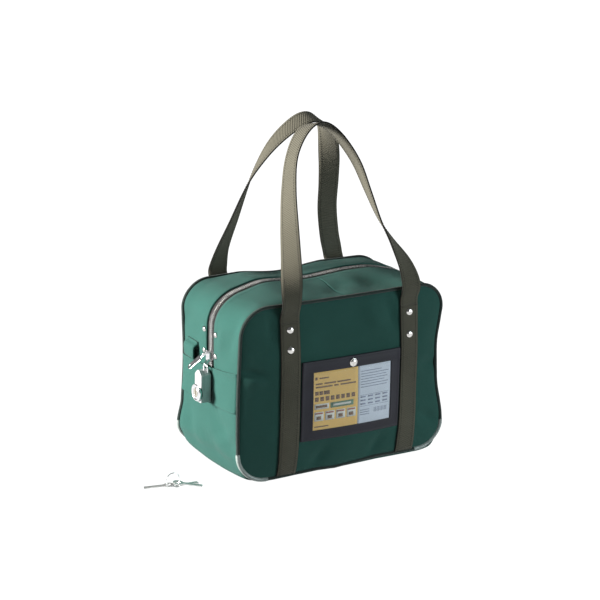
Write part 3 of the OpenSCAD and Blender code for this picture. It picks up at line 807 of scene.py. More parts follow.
def smooth_route(rows, parts):
    """Smooth open line through the given rows, with points added between."""
    rows = np.array(rows, float)
    out = []
    for i in range(len(rows) - 1):
        a, b, c, d = rows[max(i - 1, 0)], rows[i], rows[i + 1], rows[min(i + 2, len(rows) - 1)]
        for k in range(parts):
            t = k / parts
            out.append(0.5 * (2 * b + (c - a) * t + (2 * a - 5 * b + 4 * c - d) * t * t
                              + (3 * b - 3 * c + d - a) * t ** 3))
    out.append(rows[-1])
    return np.array(out)


def even_line(points, gap):
    p = np.array(points)
    s = np.concatenate([[0], np.cumsum(np.linalg.norm(np.diff(p, axis=0), axis=1))])
    at = np.linspace(0, s[-1], int(s[-1] / gap) + 1)
    return np.stack([np.interp(at, s, p[:, k]) for k in range(3)], 1)


ridge_line = even_line(smooth_route(gusset[zip_rows, gusset_cells + 1], 3), teeth_pitch / 2)
for _ in range(6):
    ridge_line[1:-1] = (ridge_line[:-2] + 2 * ridge_line[1:-1] + ridge_line[2:]) / 4
ridge_t = np.gradient(ridge_line, axis=0)
ridge_t /= np.linalg.norm(ridge_t, axis=1)[:, None]
ridge_n = np.stack([-ridge_t[:, 2], np.zeros(len(ridge_t)), ridge_t[:, 0]], 1)
ridge_n /= np.linalg.norm(ridge_n, axis=1)[:, None]
if ridge_n[len(ridge_n) // 2, 2] < 0:
    ridge_n = -ridge_n
ridge_a = np.cross(ridge_t, ridge_n)
if ridge_a[len(ridge_a) // 2, 1] < 0:
    ridge_a = -ridge_a


def zip_at(i, off, depth):
    """Place beside the zip's middle line, a depth under the canvas."""
    return ridge_line[i] + ridge_a[i] * off - ridge_n[i] * (depth + 2.4 * off * off)


tape_cloth = woven("tape_cloth", (0.012, 0.012, 0.012), 0.5 * mm, 0.7, 0.1, 0.06 * mm, 0.3)


def worn_metal(name, colour, roughness, grain, stops, rough, depth=0.02 * mm):
    """Plated metal: cloudy wear of one grain size tints, roughens and dents it."""
    m = material(name, colour, roughness, 1.0)
    n = Nodes(m)
    wear = n.noise(*grain)
    n.colour(n.ramp(wear, *stops))
    n.rough(wear, *rough)
    n.relief(wear, depth)
    return m


zip_metal = worn_metal("zip_metal", (0.80, 0.80, 0.79), 0.24, (700, 3),
                       ((0.3, (0.50, 0.49, 0.48)), (0.6, (0.78, 0.78, 0.77))), (0.16, 0.36))

tooth_profile = [(-0.62, -1.1), (-0.62, 0.5), (-0.34, 1.0), (0.34, 1.0), (0.62, 0.5), (0.62, -1.1)]
tooth_steps = [(-0.9 * mm, 0.55), (-0.3 * mm, 0.95), (1.6 * mm, 1.0), (teeth_half - 0.5 * mm, 0.95),
               (teeth_half, 0.6)]
top_middle = int(np.argmin(np.abs(ridge_line[:, 0][ridge_line[:, 2] > 0.25]))
                 + np.argmax(ridge_line[:, 2] > 0.25))
halves = {"right": range(0, top_middle + 1), "left": range(top_middle, len(ridge_line))}
for end, span in halves.items():
    sign = -1 if end == "left" else 1
    for row, way in (("front", -1), ("back", 1)):
        # Tape with a thin cord of thread where the teeth are pinched on
        offs = np.array([0.9, 2.0, 3.0, teeth_half / mm + 0.9, 7.5, 10.5, tape_half / mm]) * mm
        index = list(span)[::3] + ([span[-1]] if (len(span) - 1) % 3 else [])
        p = np.array([[zip_at(i, way * off, 2.0 * mm) for off in offs] for i in index])
        nn = np.repeat(ridge_n[index][:, None], len(offs), 1)
        cut = np.stack([np.repeat(np.arange(len(index))[:, None] * teeth_pitch * 1.5, len(offs), 1),
                        np.repeat(offs[None], len(index), 0)], -1)
        o = cloth_piece(f"zip_tape_{row}_{end}", p, nn, cut, tape_cloth, 0.6 * mm)
        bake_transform(o)
        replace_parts(o, f"zip_tape_{end}", f"zip_tape_{row}")
        # Teeth, each pinched onto the tape's edge, the two rows half a pitch apart
        verts, faces, cut = [], [], []
        for i in list(span)[(0 if row == "front" else 1)::2]:
            base = len(verts)
            for off, size in tooth_steps:
                for a, h in tooth_profile:
                    place = zip_at(i, way * off, 0.9 * mm - h * size * mm)
                    verts.append(place + ridge_t[i] * a * size * 1.05 * mm)
                    cut.append((off, a * mm))
            for k in range(len(tooth_steps) - 1):
                for j in range(6):
                    a, b = base + k * 6 + j, base + k * 6 + (j + 1) % 6
                    faces.append((a, b, b + 6, a + 6) if way > 0 else (a, a + 6, b + 6, b))
            last = base + (len(tooth_steps) - 1) * 6
            first_cap, last_cap = [base + j for j in range(6)], [last + j for j in range(6)]
            faces.append(tuple(first_cap[::-1] if way > 0 else first_cap))
            faces.append(tuple(last_cap if way > 0 else last_cap[::-1]))
        o = piece(f"zip_teeth_{row}_{end}", verts, faces, zip_metal, cut, smooth=False)
        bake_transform(o)
        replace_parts(o, f"zip_teeth_{end}", f"zip_teeth_{row}")
        # Two rows of thread that hold the canvas edge to the tape
        lines = []
        for off in (slot_half + 2.2 * mm, slot_half + 8.5 * mm):
            line, line_n = [], []
            for i in index[1:]:
                aim_at = ridge_line[i] + ridge_a[i] * way * off + ridge_n[i] * 20 * mm
                hit, hit_n = touch(aim_at, -ridge_n[i])
                if hit is not None:
                    line.append(hit)
                    line_n.append(hit_n)
            lines.append(stitches(line, line_n, 2.9 * mm, 0.2 * mm, 2.2 * mm))
        verts, faces, cut = joined(lines)
        o = piece(f"zip_stitches_{row}_{end}", verts, faces, thread_green, cut)
        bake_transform(o)


def box_shape(middle, axes, sizes, trim=0.25):
    """Small block with cut edges: middle, three directions, three half sizes."""
    verts, faces = [], []
    a, b, c = (np.array(v, float) for v in axes)
    mid = np.array(middle, float)
    sa, sb, sc = sizes
    k = 1 - trim
    rings = []
    for h, size in ((-1, k), (-k, 1), (k, 1), (1, k)):
        ring_now = []
        for u, v in ((-1, -k), (-k, -1), (k, -1), (1, -k), (1, k), (k, 1), (-k, 1), (-1, k)):
            ring_now.append(len(verts))
            verts.append(mid + a * sa * u * size + b * sb * v * size + c * sc * h)
        rings.append(ring_now)
    for low_ring, high_ring in zip(rings, rings[1:]):
        for j in range(8):
            m = (j + 1) % 8
            faces.append((low_ring[j], low_ring[m], high_ring[m], high_ring[j]))
    faces.append(tuple(rings[0][::-1]))
    faces.append(tuple(rings[-1]))
    return verts, faces, [(0, 0)] * len(verts)


stops = [box_shape(zip_at(i, 0, 1.0 * mm), (ridge_a[i], ridge_t[i], ridge_n[i]),
                   (teeth_half, 1.1 * mm, 1.3 * mm)) for i in (1, len(ridge_line) - 2)]
verts, faces, cut = joined(stops)
o = piece("zip_end_stops", verts, faces, zip_metal, smooth=False)
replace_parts(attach(o, "root"), "zip_end_stops")

# ---------------------------------------------------------------------------
# Seam bindings: black tape folded over the raw edges of the piped seams, all
# round the inside. They show only when the mouth is open.
# ---------------------------------------------------------------------------
for row, loop_line, name in ((-1, seam_front, "front"), (1, seam_back, "back")):
    reach = np.linspace(0, 1, 5)
    inward = -outward
    width = 9 * mm
    base = loop_line + inward * 2.3 * mm - np.array([0, row, 0]) * 2.6 * mm
    way = inward * 0.86 - np.array([0, row, 0]) * 0.5
    ripple = 1 + 0.06 * np.sin(np.arange(ring_n) * 0.45)
    p = base[:, None] + way[:, None] * (reach[None] * width * ripple[:, None])[..., None]
    p = np.concatenate([p, p[:1]])
    along_normal = inward * 0.5 + np.array([0, row, 0]) * 0.86
    nn = np.repeat(np.concatenate([along_normal, along_normal[:1]])[:, None], 5, 1)
    cut = np.stack([np.repeat(reach[None] * width, ring_n + 1, 0),
                    np.repeat(np.arange(ring_n + 1)[:, None] * 2.5 * mm, 5, 1)], -1)
    o = cloth_piece(f"seam_binding_{name}", p, nn, cut, tape_cloth, 1.3 * mm)
    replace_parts(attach(o, "root"), f"seam_binding_{name}")

# ---------------------------------------------------------------------------
# Seam stitching: a row of green thread on the gusset beside each piped seam.
# ---------------------------------------------------------------------------
for row, col, name in ((-1, 1, "front"), (1, gusset_cols - 2, "back")):
    line = np.concatenate([gusset[:, col], gusset[:1, col]])
    line_n = np.concatenate([gusset_n[:, col], gusset_n[:1, col]])
    order = np.arange(across_cells, ring_n)
    verts, faces, cut = stitches(line[order], line_n[order])
    o = piece(f"seam_stitches_{name}", verts, faces, thread_green, cut)
    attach(o, "root")

# ---------------------------------------------------------------------------
# Webbing: one length of thick olive cotton webbing makes both straps of a panel
# and the handle between them. It is sewn down with two rows of thread, and the
# free part bends over the top seam.
# ---------------------------------------------------------------------------
low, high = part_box("strap_front_left")
webbing_half = (high.x - low.x) / 2
webbing_thick = high.y - low.y
front_lefts = (low.x + high.x) / 2
low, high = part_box("strap_front_right")
front_rights = (low.x + high.x) / 2
hinge_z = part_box("handle_front")[0].z
handle_y = abs(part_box("handle_front")[0].y) - webbing_thick / 2

webbing = woven("webbing", (0.112, 0.104, 0.076), 1.6 * mm, 0.82, 0.12, 0.30 * mm, 0.22, 3.2 * mm)
# The selvedges get a near-black copy of the webbing: painted shade on the thickness of the webbing's edges.
webbing_edge_painted_shade = woven("webbing_edge_painted_shade", (0.012, 0.011, 0.008), 1.2 * mm, 0.85, 0.1, 0.1 * mm)
thread_olive = woven("thread_olive", (0.030, 0.027, 0.019), 0.4 * mm, 0.6, 0.15, 0.05 * mm)

handle_routes = {
    "front": [(front_lefts / mm, -handle_y / mm, hinge_z / mm, 0), (front_lefts / mm, -handle_y / mm, 274, 0),
              (-93, -93, 325, 44), (-89, -79, 380, 62), (-81, -61, 430, 76), (-66, -42, 474, 84),
              (-38, -25, 506, 80), (-8, -19.5, 514, 90), (20, -24, 496, 88), (45, -38, 456, 84),
              (60, -52, 410, 76), (72, -66, 370, 66), (86, -80, 338, 50), (101, -95, 304, 20),
              (front_rights / mm, -handle_y / mm, 276, 0),
              (front_rights / mm, -handle_y / mm, hinge_z / mm, 0)],
    "back": [(-front_rights / mm, handle_y / mm, hinge_z / mm, 0), (-front_rights / mm, handle_y / mm, 272, 0),
             (-106, 92, 306, -20), (-97, 73, 355, -34), (-87, 57, 403, -46), (-78, 45, 436, -58),
             (-61, 31, 472, -74), (-38, 22, 498, -86), (-10, 18.5, 514, -90), (14, 19.5, 510, -84),
             (33, 26, 488, -60), (45, 38, 446, -26), (53, 51, 404, -10), (61, 67, 358, -4),
             (77, 86, 310, -2), (-front_lefts / mm - 3, handle_y / mm, 274, 0),
             (-front_lefts / mm, handle_y / mm, hinge_z / mm, 0)]}
handle_lean = math.radians(17.5)
split_z = 240 * mm
offs = np.linspace(-1, 1, 9) * (webbing_half - 0.8 * mm)


def unit(v):
    return v / np.maximum(np.linalg.norm(v, axis=-1, keepdims=True), 1e-9)


def sewn_part(row, x, zs):
    """Middle surface of webbing that lies on a panel."""
    p = np.zeros((len(zs), len(offs), 3))
    for i, z in enumerate(zs):
        for j, off in enumerate(offs):
            hit, _ = touch_panel(row, x + off, min(z, 262 * mm))
            p[i, j] = hit if hit is not None else p[i - 1, j]
            p[i, j, 2] = z
    skin_y = p[..., 1] * row
    easy = smoothed(np.repeat(skin_y[..., None], 1, 2), 6)[..., 0]
    easy = np.maximum(easy, skin_y)
    p[..., 1] = row * (smoothed(easy[..., None], 2)[..., 0] + webbing_thick / 2 + 0.35 * mm)
    return p


def webbing_mesh(p, n):
    """Closed strip of webbing with rounded selvedges; kinds marks the selvedges, which take a near-black colour as
    painted shade.
    """
    h = webbing_thick / 2
    left = unit(p[:, 0] - p[:, 1])
    right = unit(p[:, -1] - p[:, -2])
    cols = [p[:, j] + n[:, j] * h for j in range(p.shape[1])]
    cols += [p[:, -1] + right * 0.6 * mm + n[:, -1] * h * 0.6, p[:, -1] + right * 0.8 * mm,
             p[:, -1] + right * 0.6 * mm - n[:, -1] * h * 0.6]
    cols += [p[:, j] - n[:, j] * h for j in reversed(range(p.shape[1]))]
    cols += [p[:, 0] + left * 0.6 * mm - n[:, 0] * h * 0.6, p[:, 0] + left * 0.8 * mm,
             p[:, 0] + left * 0.6 * mm + n[:, 0] * h * 0.6]
    v = np.stack(cols, 1)
    rows, count = v.shape[:2]
    s = np.concatenate([[0], np.cumsum(np.linalg.norm(np.diff(p[:, 4], axis=0), axis=1))])
    w = np.concatenate([[0], np.cumsum(np.linalg.norm(np.diff(v[rows // 2], axis=0), axis=1))])
    cut = np.stack([np.repeat(w[None], rows, 0), np.repeat(s[:, None], count, 1)], -1)
    faces, kinds = [], []
    m = p.shape[1]
    # Selvedge faces: these take the near-black painted shade.
    painted_shade_faces = set(range(m - 1, m + 3)) | set(range(2 * m + 2, 2 * m + 6))
    for i in range(rows - 1):
        for j in range(count):
            j2 = (j + 1) % count
            faces.append((i * count + j, (i + 1) * count + j, (i + 1) * count + j2, i * count + j2))
            kinds.append(1 if j in painted_shade_faces else 0)
    faces.append(tuple(range(count)))
    faces.append(tuple((rows - 1) * count + k for k in reversed(range(count))))
    kinds += [0, 0]
    return v.reshape(-1, 3), faces, cut.reshape(-1, 2), kinds


def seam_height(row, x):
    """Height of the lower piped seam under a strap."""
    loop = (seam_front if row < 0 else seam_back)[:across_cells + 1]
    return float(np.interp(x, loop[:, 0], loop[:, 2])) + 1.5 * mm


strap_lines = {}
for row, name in ((-1, "front"), (1, "back")):
    route = smooth_route(handle_routes[name], 7)
    c, twist = route[:, :3] * mm, np.radians(route[:, 3])
    t = unit(np.gradient(c, axis=0))
    lean = unit(np.array([0, row * math.cos(handle_lean), math.sin(handle_lean)]))
    across = unit(np.cross(t, lean))
    upward = unit(np.cross(across, t))
    wide = across * np.cos(twist)[:, None] + upward * np.sin(twist)[:, None]
    free = c[:, None] + wide[:, None] * offs[None, :, None]
    x_left, x_right = route[0, 0] * mm, route[-1, 0] * mm
    zs = np.concatenate([np.linspace(seam_height(row, x_left), hinge_z - 5 * mm, 48), c[:7, 2]])
    flip = 1 if wide[0, 0] > 0 else -1
    left_part = sewn_part(row, x_left, zs)[:, ::flip]
    zs_right = np.concatenate([c[-7:, 2], np.linspace(hinge_z - 5 * mm, seam_height(row, x_right), 48)])
    flip = 1 if wide[-1, 0] > 0 else -1
    right_part = sewn_part(row, x_right, zs_right)[:, ::flip]
    # The strap leaves the panel and meets the free webbing just over the seam
    for part, inner in ((left_part, free[:7]), (right_part, free[-7:])):
        near = slice(len(part) - 7, None) if part is left_part else slice(0, 7)
        k = step(part[near][:, 4, 2], hinge_z, 272 * mm)[:, None, None]
        part[near] = part[near] * (1 - k) + inner * k
    whole = np.concatenate([left_part, free[7:-7], right_part])
    soft = smoothed(whole, 2)
    whole[:, 1:-1] = soft[:, 1:-1]
    t = unit(np.gradient(whole, axis=0))
    wide_all = unit(np.gradient(whole, axis=1))
    n = unit(np.cross(t, wide_all))
    if n[3, 4, 1] * row < 0:
        n = -n
    z_mid = whole[:, 4, 2]
    first = int(np.argmax(z_mid > split_z))
    last = len(z_mid) - 1 - int(np.argmax(z_mid[::-1] > split_z))
    parts = {"left": slice(0, first + 1), "handle": slice(first, last + 1), "right": slice(last, None)}
    for part, rows in parts.items():
        title = f"handle_{name}" if part == "handle" else f"strap_{name}_{part}"
        verts, faces, cut, kinds = webbing_mesh(whole[rows], n[rows])
        o = piece(title, verts, faces, [webbing, webbing_edge_painted_shade], cut, kinds, flat=2)
        thread = []
        for face in (1, -1) if part == "handle" else (1,):
            for j in (1, 7):
                facing = face * n[rows][:, j]
                line = whole[rows][:, j] + facing * webbing_thick / 2
                thread.append(stitches(line, facing, 4.2 * mm, 0.25 * mm, 3.0 * mm, 0.45 * mm))
        sv, sf, sc = joined(thread)
        so = piece(f"{title}_stitches", sv, sf, thread_olive, sc)
        for q in (o, so):
            if part == "handle":
                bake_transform(q)
            else:
                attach(q, "root")
        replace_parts(o, title)
        if part != "handle":
            strap_lines[name, part] = (whole[rows], n[rows])

# ---------------------------------------------------------------------------
# Rivets: domed nickel caps, two through each strap and four beside the zip,
# closed over washers inside.
# ---------------------------------------------------------------------------
nickel = worn_metal("nickel", (0.62, 0.61, 0.59), 0.12, (420, 4),
                    ((0.3, (0.46, 0.45, 0.43)), (0.55, (0.64, 0.63, 0.61)), (0.8, (0.74, 0.74, 0.72))), (0.06, 0.18))


def turned(profile, place, axis, sides=40, roll=0.0):
    """Lathe shape: profile is pairs of radius and height along the axis."""
    axis = unit(np.array(axis, float))
    a = unit(np.cross(axis, (0.3, 0.1, 1) if abs(axis[2]) < 0.9 else (1, 0, 0)))
    b = np.cross(axis, a)
    verts, faces = [], []
    for r, h in profile:
        for w in np.linspace(0, 2 * math.pi, sides, endpoint=False):
            verts.append(place + axis * h + (a * math.cos(w + roll) + b * math.sin(w + roll)) * r)
    for i in range(len(profile) - 1):
        for k in range(sides):
            k2 = (k + 1) % sides
            faces.append((i * sides + k, i * sides + k2, (i + 1) * sides + k2, (i + 1) * sides + k))
    faces.append(tuple(reversed(range(sides))))
    faces.append(tuple((len(profile) - 1) * sides + k for k in range(sides)))
    return verts, faces, [(0, 0)] * len(verts)


def dome(r, h, place, axis, sides=40):
    """Rivet cap: short rolled rim, then a dome."""
    profile = [(r * 0.86, -0.6 * mm), (r * 0.98, -0.1 * mm), (r, 0.3 * mm), (r * 0.97, 0.7 * mm)]
    for k in np.linspace(0.1, 1, 9):
        a = k * math.pi / 2
        profile.append((max(r * 0.93 * math.cos(a), 0.02 * mm), 0.7 * mm + (h - 0.7 * mm) * math.sin(a)))
    return turned(profile, place, axis, sides)


low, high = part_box("strap_rivets_front")
strap_rivet_r = 5.75 * mm
rivet_zs = (low.z + strap_rivet_r, high.z - strap_rivet_r)
rivet_h = 2.9 * mm
washers = []
for row, name in ((-1, "front"), (1, "back")):
    caps = []
    for part in ("left", "right"):
        p, n = strap_lines[name, part]
        for z in rivet_zs:
            i = int(np.argmin(np.abs(p[:, 4, 2] - z)))
            facing = unit(n[i, 4] + n[max(i - 2, 0), 4] + n[min(i + 2, len(p) - 1), 4])
            place = p[i, 4] + facing * webbing_thick / 2
            caps.append(dome(strap_rivet_r, rivet_h, place, facing))
            profile = [(2.2 * mm, 0), (5.2 * mm, 0), (5.4 * mm, 0.4 * mm), (5.2 * mm, 0.9 * mm),
                       (1.6 * mm, 1.1 * mm)]
            washers.append(turned(profile, place - facing * (webbing_thick + cloth + 0.5 * mm), -facing, 28))
    verts, faces, cut = joined(caps)
    o = piece(f"strap_rivets_{name}", verts, faces, nickel)
    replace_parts(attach(o, "root"), f"strap_rivets_{name}")
verts, faces, cut = joined(washers)
o = piece("strap_rivet_washers", verts, faces, nickel)
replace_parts(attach(o, "root"), "strap_rivet_washers")

low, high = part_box("side_rivets")
side_rivet_r = 4.5 * mm
caps, plates = [], []
for y in (low.y + side_rivet_r, high.y - side_rivet_r):
    places = []
    for z in (low.z + side_rivet_r, high.z - side_rivet_r):
        hit, facing = touch_side(-1, y, z)
        facing = unit(facing + np.array([-2.0, 0, 0]))
        caps.append(dome(side_rivet_r, 2.6 * mm, hit + facing * 0.3 * mm, facing))
        places.append(hit - facing * 2.6 * mm)
    middle = (places[0] + places[1]) / 2
    run = unit(places[1] - places[0])
    face = unit(np.cross(run, (0, 1, 0)))
    long = np.linalg.norm(places[1] - places[0]) / 2 + 6 * mm
    plates.append(box_shape(middle, ((0, 1, 0), run, face), (4.5 * mm, long, 0.5 * mm), 0.2))
for shapes, title in ((caps, "side_rivets"), (plates, "side_rivet_plates")):
    verts, faces, cut = joined(shapes)
    o = piece(title, verts, faces, nickel, smooth=title == "side_rivets")
    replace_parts(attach(o, "root"), title)

# ---------------------------------------------------------------------------
# Card pocket: a vinyl frame welded round a clear window, sewn on the front. Its
# top is a flap that a snap holds down, and a printed card lies behind the film.
# ---------------------------------------------------------------------------
low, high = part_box("pocket_backing")
pocket_left, pocket_right, pocket_low, pocket_top = low.x, high.x, low.z, high.z
low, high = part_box("pocket_lip")
lip_low = low.z
low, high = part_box("window_film")
window_left, window_right = pocket_left + 19 * mm, pocket_right - 16 * mm
window_low, window_top = pocket_low + 15.5 * mm, lip_low - 1.2 * mm

xs = np.linspace(pocket_left, pocket_right, 23)
zs = np.linspace(pocket_low, pocket_top, 17)
seen_y = np.array([[touch_panel(-1, x, z)[0][1] for x in xs] for z in zs])
gx, gz = np.meshgrid(xs, zs)
terms = [gx ** i * (gz - 0.12) ** j for i in range(4) for j in range(4) if i + j < 5]
weights = np.linalg.lstsq(np.stack([k.ravel() for k in terms], 1), seen_y.ravel(), rcond=None)[0]
sag_out = float((sum(w * k for w, k in zip(weights, terms)) - seen_y).max())


def pocket_skin(x, z):
    """Gently curved face of the pocket, clear of the canvas under it."""
    fit = sum(w * x ** i * (z - 0.12) ** j
              for w, (i, j) in zip(weights, [(i, j) for i in range(4) for j in range(4) if i + j < 5]))
    return fit - max(sag_out, 0) * 0.75 - 0.2 * mm


def pocket_sheet(x_line, z_line, out, raised=None):
    gx, gz = np.meshgrid(x_line, z_line)
    y = pocket_skin(gx, gz) - out
    if raised is not None:
        y = y - raised(gx, gz)
    p = np.stack([gx, y, gz], -1)
    n = grid_normals(p)
    return p, (n if n[0, 0, 1] < 0 else -n)


def beveled(o, width, angle=35, segments=2):
    b = o.modifiers.new("soft_edges", "BEVEL")
    b.width = width
    b.segments = segments
    b.limit_method = "ANGLE"
    b.angle_limit = math.radians(angle)
    return o


pocket_vinyl = material("pocket_vinyl", (0.016, 0.015, 0.024), 0.48, Specular_IOR_Level=0.25)
n = Nodes(pocket_vinyl)
grain = n.noise(1300, 3)
cloudy = n.noise(26, 3)
n.colour(n.ramp(cloudy, (0.3, (0.012, 0.012, 0.019)), (0.7, (0.022, 0.021, 0.032))))
n.rough(cloudy, 0.42, 0.56)
n.relief(n.math("ADD", grain, n.math("MULTIPLY", cloudy, 4.0)), 0.09 * mm)


def lines_between(a, b, cells, edge=2.5 * mm):
    inner = np.linspace(a + edge, b - edge, cells)
    fine = np.linspace(0, edge, 5)[:-1]
    return np.concatenate([a + fine, inner, b - fine[::-1]])


def beads(gx, gz):
    """Welded bead near the outer edge and a thinner one round the window."""
    outer = np.minimum.reduce([gx - pocket_left, pocket_right - gx, gz - pocket_low, pocket_top - gz])
    inner = np.maximum.reduce([window_left - gx, gx - window_right, window_low - gz, gz - window_top])
    return 0.45 * mm * bump(outer, 1.7 * mm, 1.5 * mm) + 0.35 * mm * bump(inner, 1.6 * mm, 1.5 * mm)


x_all = np.unique(np.concatenate([lines_between(pocket_left, window_left, 6),
                                  lines_between(window_left, window_right, 30),
                                  lines_between(window_right, pocket_right, 6)]).round(6))
z_all = np.unique(np.concatenate([lines_between(pocket_low, window_low, 6),
                                  lines_between(window_low, lip_low, 24)]).round(6))
p, n = pocket_sheet(x_all, z_all, 2.1 * mm, beads)
mid_x, mid_z = (x_all[1:] + x_all[:-1]) / 2, (z_all[1:] + z_all[:-1]) / 2
solid = ~((mid_x[None] > window_left) & (mid_x[None] < window_right) & (mid_z[:, None] > window_low))


def cut_sheet(p, n, solid, thick):
    """Skin of vinyl with a hole: only the solid cells, with rims round every edge."""
    rows, cols = p.shape[:2]
    count = rows * cols
    a = np.arange(count).reshape(rows, cols)
    faces = []
    for i in range(rows - 1):
        for j in range(cols - 1):
            if not solid[i, j]:
                continue
            q = (a[i, j], a[i, j + 1], a[i + 1, j + 1], a[i + 1, j])
            faces.append(q)
            faces.append(tuple(k + count for k in reversed(q)))
            for (di, dj), (e, f) in (((-1, 0), (q[0], q[1])), ((0, 1), (q[1], q[2])),
                                     ((1, 0), (q[2], q[3])), ((0, -1), (q[3], q[0]))):
                i2, j2 = i + di, j + dj
                if not (0 <= i2 < rows - 1 and 0 <= j2 < cols - 1 and solid[i2, j2]):
                    faces.append((e, e + count, f + count, f))
    verts = np.concatenate([p.reshape(-1, 3), (p - n * thick).reshape(-1, 3)])
    used = sorted({k for f in faces for k in f})
    place = {k: i for i, k in enumerate(used)}
    return verts[used], [tuple(place[k] for k in f) for f in faces], [(verts[k][0], verts[k][2]) for k in used]


verts, faces, cut = cut_sheet(p, n, solid, 1.2 * mm)
frame_piece = beveled(piece("pocket_frame", verts, faces, pocket_vinyl, cut), 0.3 * mm)
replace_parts(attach(frame_piece, "root"), "pocket_frame")

backing_x, backing_z = np.linspace(pocket_left, pocket_right, 30), np.linspace(pocket_low, pocket_top, 22)
p, n = pocket_sheet(backing_x, backing_z, 0.7 * mm)
o = cloth_piece("pocket_backing", p, n, panel_uv(p), pocket_vinyl, 0.6 * mm)
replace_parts(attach(o, "root"), "pocket_backing")

lip_x = np.unique(lines_between(pocket_left, pocket_right, 34).round(6))
lip_z = np.unique(lines_between(lip_low, pocket_top, 7).round(6))
lip_swell = lambda gx, gz: beads(gx, gz) + 0.9 * mm * bump(gz, (lip_low + pocket_top) / 2, 13 * mm)
p, n = pocket_sheet(lip_x, lip_z, 2.2 * mm, lip_swell)
verts, faces, cut = sheet_mesh(p, n, 1.2 * mm, panel_uv(p))
lip = beveled(piece("pocket_lip", verts, faces, pocket_vinyl, cut), 0.3 * mm)
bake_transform(lip)
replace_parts(lip, "pocket_lip")

film = material("window_film", (0.95, 0.96, 0.98), 0.09, Alpha=0.07, Coat_Weight=0.5, Coat_Roughness=0.06)
n = Nodes(film)
ripple = n.noise(38, 2)
n.rough(ripple, 0.05, 0.16)
n.relief(ripple, 1.6 * mm, 0.5)
low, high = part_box("window_film")
fx, fz = np.linspace(low.x, high.x, 40), np.linspace(low.z, min(high.z, lip_low + 1.5 * mm), 30)
p, n = pocket_sheet(fx, fz, 1.6 * mm)
o = cloth_piece("window_film", p, n, panel_uv(p), film, 0.25 * mm)
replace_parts(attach(o, "root"), "window_film")

# Printed card: an ochre half and a pale half, with plain bars and blocks for the print
low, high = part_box("index_card")
card_left, card_right, card_low, card_top = low.x, high.x, low.z, high.z
card_split = window_left + 0.565 * (window_right - window_left)


def printed(name, colour, roughness=0.55):
    m = material(name, colour, roughness)
    k = Nodes(m)
    fibre = k.noise(900, 3)
    tint = k.noise(40, 3)
    both = k.math("ADD", k.math("MULTIPLY", fibre, 0.4), k.math("MULTIPLY", tint, 0.6))
    k.colour(k.ramp(both, (0.3, shade(colour, 0.9)), (0.7, shade(colour, 1.06))))
    k.rough(fibre, roughness - 0.05, roughness + 0.1)
    k.relief(fibre, 0.02 * mm)
    return m


card_inks = [printed("card_ochre", (0.98, 0.62, 0.15)), printed("card_pale", (0.80, 0.86, 0.98)),
             printed("card_brown", (0.17, 0.075, 0.02)), printed("card_white", (0.90, 0.88, 0.82)),
             printed("card_green", (0.10, 0.24, 0.14)), printed("card_grey", (0.28, 0.32, 0.46)),
             printed("card_red", (0.42, 0.10, 0.05))]
OCHRE, PALE, BROWN, WHITE, GREEN, GREY, RED = range(7)
card_parts, card_kinds = [], []


def card_patch(x0, z0, x1, z1, ink, lift):
    cells_x = max(2, int((x1 - x0) / (5 * mm)) + 2)
    cells_z = max(2, int((z1 - z0) / (5 * mm)) + 2)
    p, n = pocket_sheet(np.linspace(x0, x1, cells_x), np.linspace(z0, z1, cells_z), 1.05 * mm + lift)
    v, f, c = sheet_mesh(p, n, 0.3 * mm if lift == 0 else 0.05 * mm, panel_uv(p))
    card_parts.append((list(v), f.tolist(), list(c)))
    card_kinds.extend([ink] * len(f))


def mark(u0, v0, u1, v1, ink, side_of="left", layer=1):
    """Mark on the seen part of the card; u and v run 0 to 1 over its half, v from the bottom up."""
    x0, x1 = (window_left, card_split) if side_of == "left" else (card_split, window_right)
    w, h = x1 - x0, window_top - window_low
    card_patch(x0 + u0 * w, window_low + v0 * h, x0 + u1 * w, window_low + v1 * h, ink, 0.08 * mm * layer)


card_patch(card_left, card_low, card_split, card_top, OCHRE, 0)
card_patch(card_split, card_low, card_right, card_top, PALE, 0)
mark(0.04, 0.875, 0.09, 0.925, BROWN)
mark(0.13, 0.888, 0.34, 0.910, BROWN)
for v, pieces_of_line in ((0.79, (0.05, 0.2, 0.24, 0.5, 0.53, 0.83)),
                          (0.735, (0.05, 0.42, 0.46, 0.56, 0.6, 0.95))):
    for a, b in zip(pieces_of_line[::2], pieces_of_line[1::2]):
        mark(a, v, b, v + 0.026, BROWN)
for a, b in ((0.04, 0.12), (0.135, 0.215), (0.23, 0.36)):
    mark(a, 0.61, b, 0.675, BROWN)
for k in range(8):
    mark(0.04 + k * 0.116, 0.50, 0.12 + k * 0.116, 0.575, BROWN)
mark(0.03, 0.36, 0.35, 0.455, WHITE)
mark(0.06, 0.385, 0.31, 0.43, BROWN, layer=2)
mark(0.38, 0.36, 0.90, 0.455, GREEN)
mark(0.44, 0.39, 0.84, 0.425, WHITE, layer=2)
for k in range(4):
    a = 0.03 + k * 0.24
    mark(a, 0.155, a + 0.205, 0.315, WHITE)
    mark(a + 0.02, 0.275, a + 0.185, 0.30, RED, layer=2)
    mark(a + 0.05, 0.18, a + 0.15, 0.24, BROWN, layer=2)
mark(0.04, 0.045, 0.35, 0.065, BROWN)
for k, reach_to in enumerate((0.72, 0.93, 0.86, 0.9, 0.8, 0.92, 0.88)):
    mark(0.09, 0.905 - k * 0.046, reach_to, 0.917 - k * 0.046, GREY, "right")
for r in range(3):
    for c in range(4):
        mark(0.08 + c * 0.225, 0.45 - r * 0.062, 0.235 + c * 0.225, 0.475 - r * 0.062, GREY, "right")
mark(0.07, 0.49, 0.95, 0.496, GREY, "right")
mark(0.07, 0.295, 0.95, 0.301, GREY, "right")
for k in range(9):
    mark(0.5 + k * 0.046, 0.165, 0.52 + k * 0.046, 0.245, GREY, "right")
